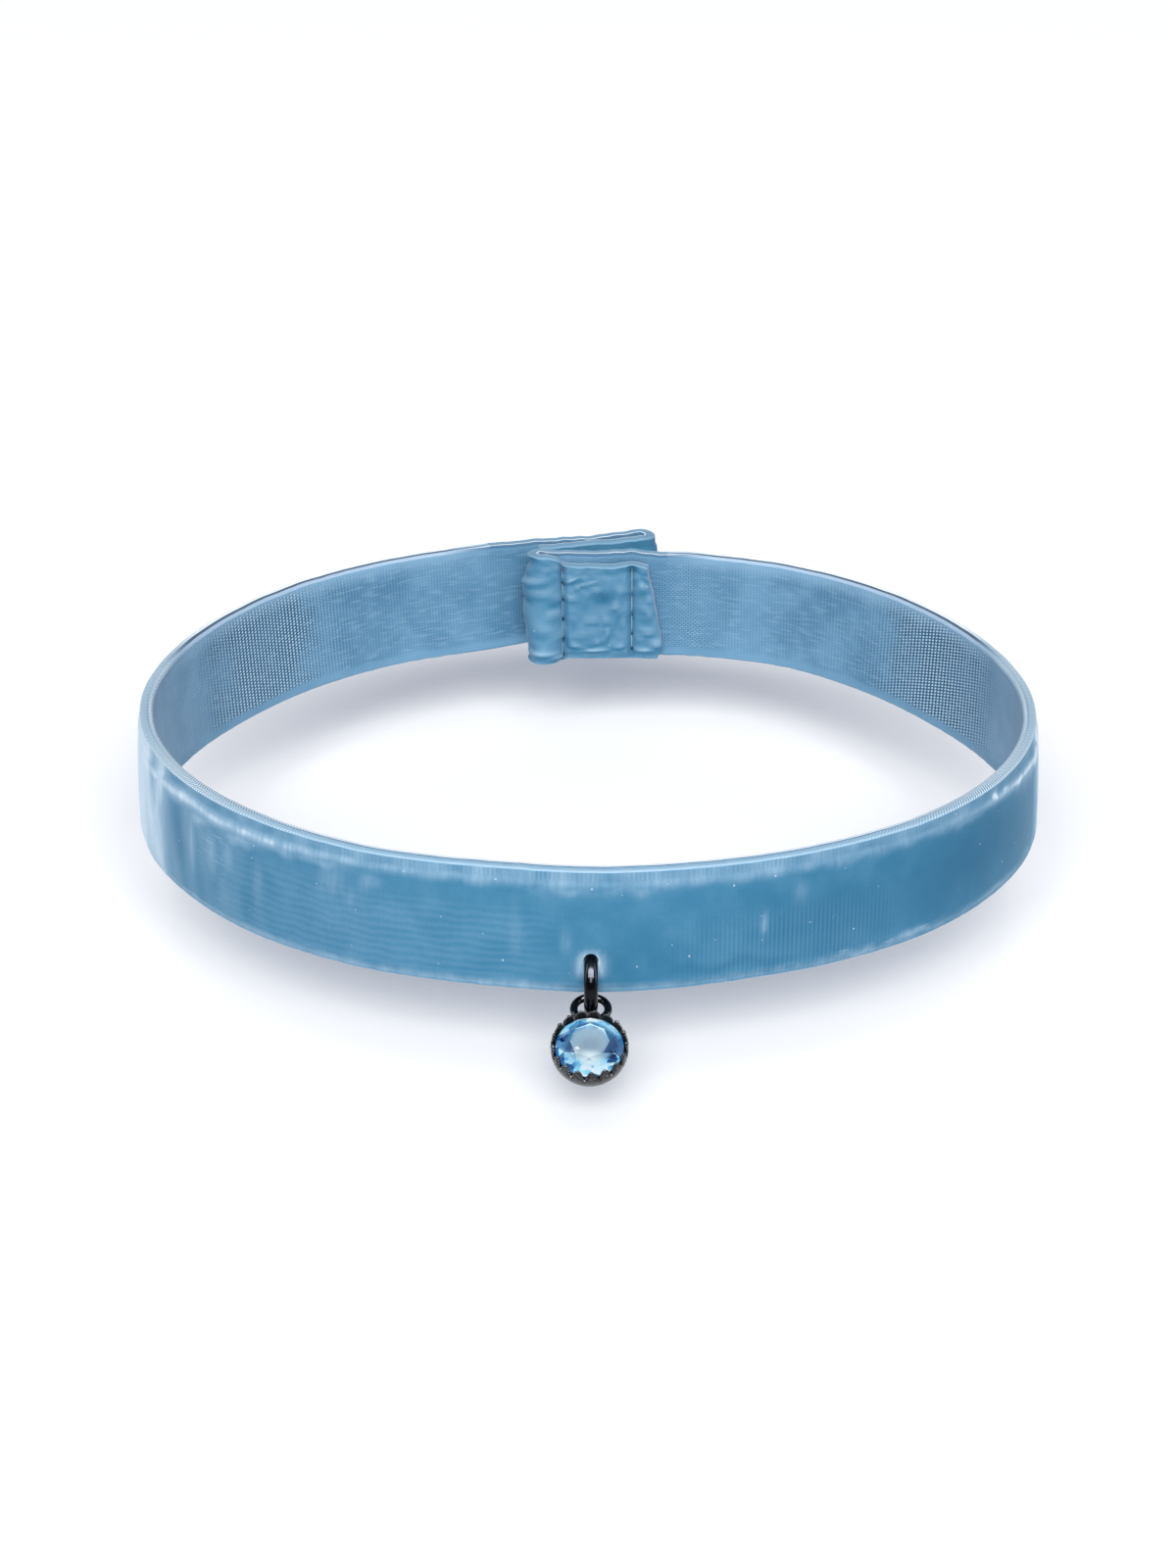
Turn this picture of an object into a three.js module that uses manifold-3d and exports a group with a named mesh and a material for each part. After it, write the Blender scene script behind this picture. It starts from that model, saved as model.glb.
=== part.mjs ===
// Velvet bracelet: a closed loop of velvet ribbon with a small stone drop at the front.
//
// Units are millimetres and +Z is up. The wrist goes through along Z, the drop is at the front (-Y) and
// the closure at the back (+Y). The origin is the centre of the wrist hollow, at half the ribbon's height.
//
// The ribbon is one length of velvet. Its left end runs across the back, turns towards the wrist and comes
// back on itself. Its right end runs in front of that, turns towards the wrist in a loop and is sewn down
// as a tab. A plain fastener lies between the two ends. The jump ring passes through a hole above the
// ribbon's lower edge and carries the crown setting with its stone.

import * as THREE from 'three';
import { ConvexGeometry } from 'three/addons/geometries/ConvexGeometry.js';
import { mergeVertices } from 'three/addons/utils/BufferGeometryUtils.js';
import Module from 'manifold-3d';

const wasm = await Module();
wasm.setup();

const DEGREE = Math.PI / 180;

// ---------------------------------------------------------------------------------------------------
// Driving dimensions
// ---------------------------------------------------------------------------------------------------

const BAND_HEIGHT = 8.0;
const HALF_THICKNESS = 0.5;
const RING_STEP = 2.6;
const CLOSURE_STEP = 0.55;

// Ribbon section, once round it from the lower woven corner. across is the distance from the mid-line,
// positive on the pile side; rise is the share of the height from the lower edge. The two selvedges are
// thinner than the pile between them.
const RIBBON_SECTION = [
  { across: -0.40, rise: 0.000 },
  { across: 0.28, rise: 0.000 },
  { across: 0.37, rise: 0.014 },
  { across: 0.38, rise: 0.080 },
  { across: 0.50, rise: 0.110 },
  { across: 0.57, rise: 0.300 },
  { across: 0.58, rise: 0.500 },
  { across: 0.56, rise: 0.700 },
  { across: 0.50, rise: 0.840 },
  { across: 0.38, rise: 0.870 },
  { across: 0.37, rise: 0.986 },
  { across: 0.28, rise: 1.000 },
  { across: -0.40, rise: 1.000 },
  { across: -0.50, rise: 0.986 },
  { across: -0.50, rise: 0.014 },
];

// The loop round the wrist. angle is in degrees from the front, positive towards +X; upper and lower are
// the mid-line's radii at the ribbon's two edges.
const RING_ROWS = [
  { angle: -165, upper: 30.08, lower: 29.45 },
  { angle: -150, upper: 29.87, lower: 29.24 },
  { angle: -135, upper: 29.78, lower: 29.02 },
  { angle: -120, upper: 29.60, lower: 28.90 },
  { angle: -105, upper: 29.62, lower: 29.35 },
  { angle: -90, upper: 29.80, lower: 29.92 },
  { angle: -75, upper: 29.78, lower: 30.04 },
  { angle: -60, upper: 29.55, lower: 29.68 },
  { angle: -45, upper: 29.20, lower: 29.40 },
  { angle: -30, upper: 28.86, lower: 28.98 },
  { angle: -20, upper: 28.42, lower: 28.60 },
  { angle: -10, upper: 28.12, lower: 28.46 },
  { angle: 0, upper: 28.32, lower: 28.68 },
  { angle: 10, upper: 28.34, lower: 28.58 },
  { angle: 20, upper: 28.52, lower: 28.48 },
  { angle: 30, upper: 28.82, lower: 28.78 },
  { angle: 45, upper: 29.38, lower: 29.32 },
  { angle: 60, upper: 29.62, lower: 29.62 },
  { angle: 75, upper: 29.54, lower: 29.82 },
  { angle: 90, upper: 29.20, lower: 29.48 },
  { angle: 105, upper: 28.76, lower: 28.66 },
  { angle: 120, upper: 28.58, lower: 28.12 },
  { angle: 135, upper: 28.62, lower: 28.30 },
  { angle: 150, upper: 28.56, lower: 28.70 },
  { angle: 165, upper: 28.16, lower: 28.08 },
];

// The closure's layers, each from where the ribbon enters it. x and y are the mid-line at the upper edge
// and top is that edge's height; x_low and swing place the lower edge, swing towards the wrist.
const FOLDED_BACK_ROWS = [
  { x: -3.9, y: 28.88, top: 7.90, x_low: -3.9, swing: 0 },
  { x: -1.7, y: 29.25, top: 7.95, x_low: -1.7, swing: 0 },
  { x: -0.2, y: 29.50, top: 8.05, x_low: -0.2, swing: 0 },
  { x: 1.3, y: 29.88, top: 7.95, x_low: 1.3, swing: 0 },
  { x: 2.7, y: 30.10, top: 8.10, x_low: 2.7, swing: 0 },
];
const OUTER_ROWS = [
  { x: 2.7, y: 31.60, top: 8.08, x_low: 2.9, swing: 0.1 },
  { x: 1.2, y: 31.20, top: 8.05, x_low: 1.3, swing: 0.1 },
  { x: -0.25, y: 30.72, top: 8.00, x_low: -0.25, swing: 0.05 },
  { x: -1.8, y: 30.45, top: 8.00, x_low: -1.8, swing: 0.05 },
  { x: -4.7, y: 29.95, top: 8.00, x_low: -4.7, swing: 0.1 },
];
const INNER_ROWS = [
  { x: 5.6, y: 27.25, top: 8.00, x_low: 5.6, swing: 0 },
  { x: 4.4, y: 27.42, top: 8.00, x_low: 4.4, swing: 0 },
  { x: 2.7, y: 27.58, top: 8.10, x_low: 2.7, swing: 0 },
  { x: 0.2, y: 27.50, top: 8.00, x_low: 0.2, swing: 0 },
  { x: -2.3, y: 27.52, top: 8.05, x_low: -2.3, swing: 0 },
  { x: -3.2, y: 27.65, top: 8.05, x_low: -3.2, swing: 0.05 },
];
const TAB_ROWS = [
  { x: -3.2, y: 26.27, top: 8.10, x_low: -3.0, swing: 1.05 },
  { x: -2.6, y: 26.36, top: 7.95, x_low: -2.5, swing: 0.45 },
  { x: -2.0, y: 26.40, top: 7.45, x_low: -1.9, swing: 0.10 },
  { x: -1.0, y: 26.40, top: 7.32, x_low: -1.0, swing: 0 },
  { x: 0.2, y: 26.38, top: 7.35, x_low: 0.2, swing: 0 },
  { x: 1.5, y: 26.40, top: 7.28, x_low: 1.5, swing: 0 },
  { x: 2.9, y: 26.44, top: 7.48, x_low: 2.9, swing: 0 },
  { x: 4.3, y: 26.30, top: 7.25, x_low: 5.15, swing: 0 },
];

// The two folds. x and y are the fold's centre, across and along its half sizes on the mid-line, each
// for the upper and the lower edge; start is the direction in degrees of its first point.
const BACK_FOLD = {
  start: -90, top: 8.18,
  upper: { x: 3.62, y: 30.95, across: 0.80, along: 0.82 },
  lower: { x: 3.95, y: 30.90, across: 0.80, along: 0.78 },
};
const TAB_FOLD = {
  start: 90, top: 8.1,
  upper: { x: -3.62, y: 26.95, across: 0.78, along: 0.71 },
  lower: { x: -3.62, y: 26.35, across: 0.78, along: 1.22 },
};
const FOLD_STEPS = 8;

// Stitched seams press a groove into the tab's pile.
const SEAM_PLACES = [-2.12, 3.10];
const SEAM_HALF_WIDTH = 0.3;
const SEAM_DEPTH = 0.28;

// Closure fastener, a plain wedge-shaped pad between the two ends
const FASTENER = { left: -1.1, right: 3.7, low: 0.9, high: 7.1 };
const FASTENER_NEAR_FACE = { left: 28.24, right: 28.30 };
const FASTENER_FAR_FACE = { left: 28.62, right: 29.40 };

// Jump ring through the ribbon; heights are above the ribbon's lower edge.
const JUMP_RING = { centre_line: 1.77, wire: 0.425, height: 0.52 };
const RING_HOLE = { radius: 0.56, height: 2.235, segments: 20 };

// Drop: crown setting, its loop and its stone. Heights run along the setting's own axis, from the
// centres of the prong tips; the loop lies on the +Y side of that axis. The drop leans forward by its
// tilt and to the left by its turn.
const DROP_TILT = 30.5 * DEGREE;
const DROP_TURN = -1.5 * DEGREE;
const SETTING_PROFILE = [
  { radius: 0.95, height: -2.00 },
  { radius: 1.60, height: -2.00 },
  { radius: 2.02, height: -1.72 },
  { radius: 2.20, height: -1.42 },
  { radius: 2.31, height: -1.00 },
  { radius: 2.345, height: -0.55 },
  { radius: 2.28, height: -0.10 },
  { radius: 2.22, height: 0.00 },
  { radius: 2.10, height: 0.00 },
  { radius: 2.10, height: -0.64 },
  { radius: 1.85, height: -0.84 },
  { radius: 1.35, height: -1.48 },
  { radius: 0.95, height: -1.74 },
];
const SETTING_SEGMENTS = 51;
const PRONGS = 17;
const FIRST_PRONG = 184.6 * DEGREE;
const PRONG_TIP = { from_axis: 2.13, radius: 0.15 };

// Notch between two prongs: half width at each height. The prongs are left as pointed arches.
const NOTCH_ROWS = [
  { half_width: 0.07, height: -0.65 },
  { half_width: 0.11, height: -0.58 },
  { half_width: 0.12, height: -0.44 },
  { half_width: 0.16, height: -0.28 },
  { half_width: 0.23, height: -0.13 },
  { half_width: 0.32, height: 0.00 },
  { half_width: 0.42, height: 0.12 },
];
const NOTCH_LENGTH = 0.9;

// The loop meets the wall at from_axis and height, and its plane is bent towards the underside.
const DROP_LOOP = { centre_line: 1.045, wire: 0.24, from_axis: 2.10, height: -0.90, bend: 15 * DEGREE };
const LINK_GAP = 0.05;
const STONE = {
  radius: 2.05, girdle: -0.55, girdle_height: 0.08, crown: 0.72, pavilion: 1.12,
  table: 1.20, star: 1.66, star_rise: 0.60, lower_facets: 0.75,
};

const COLOURS = {
  velvet: 0x5b93bb,
  fastener: 0x4a7fa6,
  gunmetal: 0x2b2d31,
  stone: 0x8fd0ee,
};

// ---------------------------------------------------------------------------------------------------
// Ribbon
// ---------------------------------------------------------------------------------------------------

// One station of the ribbon: the mid-line at its upper and its lower edge.
function layerStation(row) {
  return {
    upper: new THREE.Vector3(row.x, row.y, row.top),
    lower: new THREE.Vector3(row.x_low, row.y - row.swing, 0),
  };
}

function ringStation({ angle, upper, lower }) {
  const place = (radius, height) => new THREE.Vector3(
    radius * Math.sin(angle * DEGREE),
    -radius * Math.cos(angle * DEGREE),
    height,
  );
  return { upper: place(upper, BAND_HEIGHT), lower: place(lower, 0) };
}

function foldStations(fold) {
  const stations = [];
  for (let step = 0; step <= FOLD_STEPS; step += 1) {
    const angle = (fold.start + (180 * step) / FOLD_STEPS) * DEGREE;
    const place = (edge, height) => new THREE.Vector3(
      edge.x + edge.across * Math.cos(angle),
      edge.y + edge.along * Math.sin(angle),
      height,
    );
    stations.push({ upper: place(fold.upper, fold.top), lower: place(fold.lower, 0) });
  }
  return stations;
}

// The ribbon's whole route, from the folded-back end to the tab's end.
function ribbonStations() {
  return [
    ...FOLDED_BACK_ROWS.map(layerStation),
    ...foldStations(BACK_FOLD),
    ...OUTER_ROWS.map(layerStation),
    ...RING_ROWS.map(ringStation),
    ...INNER_ROWS.map(layerStation),
    ...foldStations(TAB_FOLD),
    ...TAB_ROWS.map(layerStation),
  ];
}

// Smooth upper and lower edges through the stations, sampled close together at the closure.
function ribbonEdges() {
  const stations = ribbonStations();
  const upperCurve = new THREE.CatmullRomCurve3(stations.map((s) => s.upper), false, 'centripetal');
  const lowerCurve = new THREE.CatmullRomCurve3(stations.map((s) => s.lower), false, 'centripetal');
  const spans = stations.length - 1;
  const samples = [];
  for (let span = 0; span < spans; span += 1) {
    const length = stations[span].upper.distanceTo(stations[span + 1].upper);
    const step = length > 3.5 ? RING_STEP : CLOSURE_STEP;
    const steps = Math.ceil(length / step);
    for (let i = 0; i < steps; i += 1) {
      const t = (span + i / steps) / spans;
      samples.push({ upper: upperCurve.getPoint(t), lower: lowerCurve.getPoint(t) });
    }
  }
  samples.push({ upper: upperCurve.getPoint(1), lower: lowerCurve.getPoint(1) });
  return samples;
}

// How much of the pile's height is left at a place: less where a seam is sewn through the tab.
function pileShare(centre) {
  const onTab = centre.y < 26.7 && centre.y > 0;
  if (!onTab) {
    return 1;
  }
  let share = 1;
  for (const seam of SEAM_PLACES) {
    const offset = (centre.x - seam) / SEAM_HALF_WIDTH;
    share -= (SEAM_DEPTH / HALF_THICKNESS) * Math.exp(-offset * offset);
  }
  return share;
}

function ribbonGeometry() {
  const samples = ribbonEdges();
  const count = RIBBON_SECTION.length;
  const positions = [];
  samples.forEach((sample, index) => {
    const before = samples[Math.max(index - 1, 0)];
    const after = samples[Math.min(index + 1, samples.length - 1)];
    for (const { across, rise } of RIBBON_SECTION) {
      const centre = sample.lower.clone().lerp(sample.upper, rise);
      const heading = after.lower.clone().lerp(after.upper, rise)
        .sub(before.lower.clone().lerp(before.upper, rise));
      const side = new THREE.Vector3(heading.y, -heading.x, 0).normalize();
      const reach = across > 0 ? across * pileShare(centre) : across;
      centre.addScaledVector(side, reach);
      positions.push(centre.x, centre.y, centre.z);
    }
  });
  const indices = [];
  for (let section = 0; section < samples.length - 1; section += 1) {
    for (let i = 0; i < count; i += 1) {
      const a = section * count + i;
      const b = section * count + ((i + 1) % count);
      indices.push(a, a + count, b, b, a + count, b + count);
    }
  }
  const outline = RIBBON_SECTION.map(({ across, rise }) => new THREE.Vector2(across, rise * BAND_HEIGHT));
  const last = (samples.length - 1) * count;
  for (const [a, b, c] of THREE.ShapeUtils.triangulateShape(outline, [])) {
    indices.push(a, b, c);
    indices.push(last + a, last + c, last + b);
  }
  const geometry = new THREE.BufferGeometry();
  geometry.setAttribute('position', new THREE.Float32BufferAttribute(positions, 3));
  geometry.setIndex(indices);
  return geometry;
}

// ---------------------------------------------------------------------------------------------------
// Solids
// ---------------------------------------------------------------------------------------------------

function toSolid(geometry) {
  const plain = geometry.clone();
  plain.deleteAttribute('normal');
  plain.deleteAttribute('uv');
  const merged = mergeVertices(plain, 1e-4);
  return new wasm.Manifold(new wasm.Mesh({
    numProp: 3,
    vertProperties: new Float32Array(merged.attributes.position.array),
    triVerts: new Uint32Array(merged.index.array),
  }));
}

function toGeometry(solid) {
  const mesh = solid.getMesh();
  const geometry = new THREE.BufferGeometry();
  geometry.setAttribute('position', new THREE.Float32BufferAttribute(mesh.vertProperties, 3));
  geometry.setIndex(new THREE.Uint32BufferAttribute(mesh.triVerts, 1));
  geometry.computeVertexNormals();
  return geometry;
}

// The ribbon's mid-line at the front, at the height of the jump ring's hole.
function frontOfBand() {
  const front = RING_ROWS.find((row) => row.angle === 0);
  return -THREE.MathUtils.lerp(front.lower, front.upper, RING_HOLE.height / BAND_HEIGHT);
}

function bandWithHole() {
  const hole = new THREE.CylinderGeometry(RING_HOLE.radius, RING_HOLE.radius, 4, RING_HOLE.segments);
  hole.translate(0, frontOfBand(), RING_HOLE.height);
  return toGeometry(toSolid(ribbonGeometry()).subtract(toSolid(hole)));
}

function fastenerGeometry() {
  const outline = new THREE.Shape([
    new THREE.Vector2(FASTENER.left, FASTENER_NEAR_FACE.left),
    new THREE.Vector2(FASTENER.right, FASTENER_NEAR_FACE.right),
    new THREE.Vector2(FASTENER.right, FASTENER_FAR_FACE.right),
    new THREE.Vector2(FASTENER.left, FASTENER_FAR_FACE.left),
  ]);
  const geometry = new THREE.ExtrudeGeometry(outline, {
    depth: FASTENER.high - FASTENER.low,
    bevelEnabled: false,
  });
  geometry.translate(0, 0, FASTENER.low);
  return geometry;
}

function jumpRingGeometry() {
  const geometry = new THREE.TorusGeometry(JUMP_RING.centre_line, JUMP_RING.wire, 12, 36);
  geometry.rotateY(90 * DEGREE);
  return geometry;
}

// One radial cut through the wall, wide at the top and narrow at the bottom, at angle 0 on +Y.
function notchGeometry() {
  const outline = new THREE.Shape([
    ...NOTCH_ROWS.map((row) => new THREE.Vector2(row.half_width, row.height)),
    ...NOTCH_ROWS.toReversed().map((row) => new THREE.Vector2(-row.half_width, row.height)),
  ]);
  const notch = new THREE.ExtrudeGeometry(outline, { depth: NOTCH_LENGTH, bevelEnabled: false });
  notch.rotateX(90 * DEGREE);
  notch.translate(0, PRONG_TIP.from_axis + NOTCH_LENGTH / 2, 0);
  return notch;
}

// The cup's wall, open at the back, with its upper edge cut into prongs that end in round tips.
function settingSolid() {
  const profile = SETTING_PROFILE.map(({ radius, height }) => new THREE.Vector2(radius, height));
  profile.push(profile[0].clone());
  const cup = new THREE.LatheGeometry(profile, SETTING_SEGMENTS);
  cup.rotateX(90 * DEGREE);
  let solid = toSolid(cup);
  const pitch = (360 / PRONGS) * DEGREE;
  for (let i = 0; i < PRONGS; i += 1) {
    const notch = notchGeometry();
    notch.rotateZ(FIRST_PRONG + pitch * (i + 0.5));
    solid = solid.subtract(toSolid(notch));
  }
  for (let i = 0; i < PRONGS; i += 1) {
    const tip = new THREE.SphereGeometry(PRONG_TIP.radius, 8, 6);
    tip.translate(0, PRONG_TIP.from_axis, 0);
    tip.rotateZ(FIRST_PRONG + pitch * i);
    solid = solid.add(toSolid(tip));
  }
  return solid;
}

// Where the loop's wire centre-line meets the wall, and the way its plane runs from there.
function loopPlace(distance) {
  const along = new THREE.Vector3(0, Math.cos(DROP_LOOP.bend), -Math.sin(DROP_LOOP.bend));
  return new THREE.Vector3(0, DROP_LOOP.from_axis, DROP_LOOP.height).addScaledVector(along, distance);
}

// The loop's wire stops inside the cup's wall, clear of the stone.
function dropLoopSolid() {
  const loop = new THREE.TorusGeometry(DROP_LOOP.centre_line, DROP_LOOP.wire, 10, 28);
  loop.rotateX(-DROP_LOOP.bend);
  const centre = loopPlace(DROP_LOOP.centre_line);
  loop.translate(centre.x, centre.y, centre.z);
  const inside = new THREE.CylinderGeometry(STONE.radius, STONE.radius, 1.2, SETTING_SEGMENTS);
  inside.rotateX(90 * DEGREE);
  inside.translate(0, 0, DROP_LOOP.height);
  return toSolid(loop).subtract(toSolid(inside));
}

function crownSettingGeometry() {
  return toGeometry(settingSolid().add(dropLoopSolid()));
}

// Round brilliant: table, star and bezel facets over the girdle, lower facets and culet under it.
function stoneGeometry() {
  const points = [];
  const ring = (count, offset, radius, height) => {
    for (let i = 0; i < count; i += 1) {
      const angle = (360 / count) * (i + offset) * DEGREE;
      points.push(new THREE.Vector3(radius * Math.cos(angle), radius * Math.sin(angle), height));
    }
  };
  const girdleTop = STONE.girdle + STONE.girdle_height / 2;
  const girdleBottom = STONE.girdle - STONE.girdle_height / 2;
  ring(8, 0, STONE.table, girdleTop + STONE.crown);
  ring(8, 0.5, STONE.star, girdleTop + STONE.crown * STONE.star_rise);
  ring(16, 0, STONE.radius, girdleTop);
  ring(16, 0, STONE.radius, girdleBottom);
  ring(8, 0.5, STONE.radius * (1 - STONE.lower_facets), girdleBottom - STONE.pavilion * STONE.lower_facets);
  points.push(new THREE.Vector3(0, 0, girdleBottom - STONE.pavilion));
  return new ConvexGeometry(points);
}

// ---------------------------------------------------------------------------------------------------
// Assembly
// ---------------------------------------------------------------------------------------------------

function part(name, geometry, material) {
  const mesh = new THREE.Mesh(geometry, material);
  mesh.name = name;
  return mesh;
}

const bracelet = new THREE.Group();
bracelet.position.z = -BAND_HEIGHT / 2;

bracelet.add(part('velvet_band', bandWithHole(), new THREE.MeshStandardMaterial({
  color: COLOURS.velvet, roughness: 0.85, metalness: 0,
})));

bracelet.add(part('closure_fastener', fastenerGeometry(), new THREE.MeshStandardMaterial({
  color: COLOURS.fastener, roughness: 0.9, metalness: 0,
})));

const jumpRing = part('jump_ring', jumpRingGeometry(), new THREE.MeshStandardMaterial({
  color: COLOURS.gunmetal, roughness: 0.25, metalness: 1,
}));
jumpRing.position.set(0, frontOfBand(), JUMP_RING.height);
bracelet.add(jumpRing);

// The drop hangs from the ring by the far wire of its loop. Its own frame has the hanging point, the
// centre of that wire, as its origin.
const hangHeight = JUMP_RING.height - (JUMP_RING.centre_line - JUMP_RING.wire) + DROP_LOOP.wire + LINK_GAP;
const farWire = loopPlace(2 * DROP_LOOP.centre_line);
const loopCentre = loopPlace(DROP_LOOP.centre_line);
const drop = new THREE.Group();
drop.rotation.x = DROP_TILT;
drop.position.set(0, frontOfBand(), hangHeight);

function placeInDrop(geometry) {
  geometry.translate(-loopCentre.x, -loopCentre.y, -loopCentre.z);
  geometry.rotateZ(DROP_TURN);
  const offset = loopCentre.clone().sub(farWire);
  geometry.translate(offset.x, offset.y, offset.z);
  return geometry;
}

drop.add(part('crown_setting', placeInDrop(crownSettingGeometry()), new THREE.MeshStandardMaterial({
  color: COLOURS.gunmetal, roughness: 0.3, metalness: 1,
})));
drop.add(part('stone', placeInDrop(stoneGeometry()), new THREE.MeshStandardMaterial({
  color: COLOURS.stone, roughness: 0.05, metalness: 0,
})));
bracelet.add(drop);

export default bracelet;
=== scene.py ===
# Velvet bracelet: the dressed part. A loop of velvet ribbon with a sewn tab at the back, and a jump ring,
# crown setting and blue stone at the front. Lengths in the tables are millimetres, the scene is in metres.
import math

import bmesh
import bpy
import numpy as np
from mathutils import Matrix, Vector, kdtree, noise


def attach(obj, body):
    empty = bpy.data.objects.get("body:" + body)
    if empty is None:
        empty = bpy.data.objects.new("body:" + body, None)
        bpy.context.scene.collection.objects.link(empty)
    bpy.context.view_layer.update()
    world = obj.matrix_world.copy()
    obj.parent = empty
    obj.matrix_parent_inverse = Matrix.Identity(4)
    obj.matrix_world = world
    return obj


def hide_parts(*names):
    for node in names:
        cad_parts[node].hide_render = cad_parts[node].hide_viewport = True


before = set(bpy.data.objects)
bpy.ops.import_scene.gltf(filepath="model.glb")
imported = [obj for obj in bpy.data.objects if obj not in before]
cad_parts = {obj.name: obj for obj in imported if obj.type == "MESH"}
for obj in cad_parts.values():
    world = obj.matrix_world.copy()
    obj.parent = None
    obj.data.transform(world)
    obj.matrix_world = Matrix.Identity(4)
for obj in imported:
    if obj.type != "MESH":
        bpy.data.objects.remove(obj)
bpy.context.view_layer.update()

MM = 0.001

# ---- Driving dimensions, the same as the solids' ----

BAND_HEIGHT = 8.0
# Spacing of the ribbon's rows round the wrist, where a span of the route is a long one, and at the closure
RING_STEP = 0.34
CLOSURE_STEP = 0.13
LONG_SPAN = 3.5

# angle from the front in degrees, radius of the mid-line at the upper and at the lower edge
RING_ROWS = [
    (-165, 30.08, 29.45), (-150, 29.87, 29.24), (-135, 29.78, 29.02), (-120, 29.60, 28.90),
    (-105, 29.62, 29.35), (-90, 29.80, 29.92), (-75, 29.78, 30.04), (-60, 29.55, 29.68),
    (-45, 29.20, 29.40), (-30, 28.86, 28.98), (-20, 28.42, 28.60), (-10, 28.12, 28.46),
    (0, 28.32, 28.68), (10, 28.34, 28.58), (20, 28.52, 28.48), (30, 28.82, 28.78),
    (45, 29.38, 29.32), (60, 29.62, 29.62), (75, 29.54, 29.82), (90, 29.20, 29.48),
    (105, 28.76, 28.66), (120, 28.58, 28.12), (135, 28.62, 28.30), (150, 28.56, 28.70),
    (165, 28.16, 28.08),
]

# The closure's layers: x, y and height of the upper edge, x of the lower edge and its swing to the wrist
FOLDED_BACK_ROWS = [
    (-3.9, 28.88, 7.90, -3.9, 0), (-1.7, 29.25, 7.95, -1.7, 0), (-0.2, 29.50, 8.05, -0.2, 0),
    (1.3, 29.88, 7.95, 1.3, 0), (2.7, 30.10, 8.10, 2.7, 0),
]
OUTER_ROWS = [
    (2.7, 31.60, 8.08, 2.9, 0.1), (1.2, 31.20, 8.05, 1.3, 0.1), (-0.25, 30.72, 8.00, -0.25, 0.05),
    (-1.8, 30.45, 8.00, -1.8, 0.05), (-4.7, 29.95, 8.00, -4.7, 0.1),
]
INNER_ROWS = [
    (5.6, 27.25, 8.00, 5.6, 0), (4.4, 27.42, 8.00, 4.4, 0), (2.7, 27.58, 8.10, 2.7, 0),
    (0.2, 27.50, 8.00, 0.2, 0), (-2.3, 27.52, 8.05, -2.3, 0), (-3.2, 27.65, 8.05, -3.2, 0.05),
]
TAB_ROWS = [
    (-3.2, 26.27, 8.10, -3.0, 1.05), (-2.6, 26.36, 7.95, -2.5, 0.45), (-2.0, 26.40, 7.45, -1.9, 0.10),
    (-1.0, 26.40, 7.32, -1.0, 0), (0.2, 26.38, 7.35, 0.2, 0), (1.5, 26.40, 7.28, 1.5, 0),
    (2.9, 26.44, 7.48, 2.9, 0), (4.3, 26.30, 7.25, 5.15, 0),
]

# Folds: first direction in degrees, height of the upper edge, then centre x, y and half sizes across and
# along for the upper and for the lower edge
BACK_FOLD = (-90, 8.18, (3.62, 30.95, 0.80, 0.82), (3.95, 30.90, 0.80, 0.78))
TAB_FOLD = (90, 8.1, (-3.62, 26.95, 0.78, 0.71), (-3.62, 26.35, 0.78, 1.22))
FOLD_STEPS = 8

JUMP_RING = {"centre_line": 1.77, "wire": 0.425, "height": 0.52}
HOLE_HEIGHT = 2.235
HOLE_ROOM = 0.032

DROP_TILT = math.radians(30.5)
DROP_TURN = math.radians(-1.5)
DROP_LOOP = {"centre_line": 1.045, "wire": 0.24, "from_axis": 2.10, "height": -0.90,
             "bend": math.radians(15)}
LINK_GAP = 0.05
STONE = {"radius": 2.05, "girdle": -0.55, "girdle_height": 0.08, "crown": 0.72, "pavilion": 1.12,
         "table": 1.20, "star": 1.66, "star_rise": 0.60, "lower_facets": 0.75}


def front_of_band():
    """The mid-line's distance from the centre at the jump ring's hole."""
    upper, lower = next(row[1:] for row in RING_ROWS if row[0] == 0)
    return -(lower + (upper - lower) * HOLE_HEIGHT / BAND_HEIGHT)


# ---- Camera, floor and light ----

# Place and floor height are in millimetres, the drop in degrees below level, reach and floor size in metres
CAMERA_PLACE = (0.12, -220.94, 93.73)
CAMERA_DROP = 23.614
CAMERA_LENS = 81.31
CAMERA_SENSOR = 36.0
CAMERA_SHIFT = -0.00314
CAMERA_REACH = (0.01, 10.0)
FLOOR_SIZE = 6.0
FLOOR_HEIGHT = -11.6
PAPER_WHITE = (0.93, 0.93, 0.94)
SKY_COLOUR = (0.80, 0.86, 1.0)
SKY_STRENGTH = 0.50

# Every light is aimed at the front of the bracelet. Azimuths are in degrees from there, positive towards +X.
LIGHT_AIM = (0, -0.03, 0)
LIGHT_DISTANCE = 0.5
KEY_LIGHTS = [("left_key_light", -10, 35), ("right_key_light", 10, 35)]
KEY_STRENGTH = 3.57
KEY_SPREAD = 22
KEY_COLOUR = (1.0, 0.977, 0.925)
# Area lights: name, azimuth, elevation, size in metres and power in watts
OVERHEAD = ("overhead_softbox", 0, 60, (0.24, 0.20), 0.30)
METAL_CARDS = [
    ("upper_card", 0, 56, (0.95, 0.26), 30),
    ("left_card", -100, 14, (0.22, 0.50), 1.6),
    ("right_card", 100, 14, (0.22, 0.50), 1.6),
]


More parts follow.
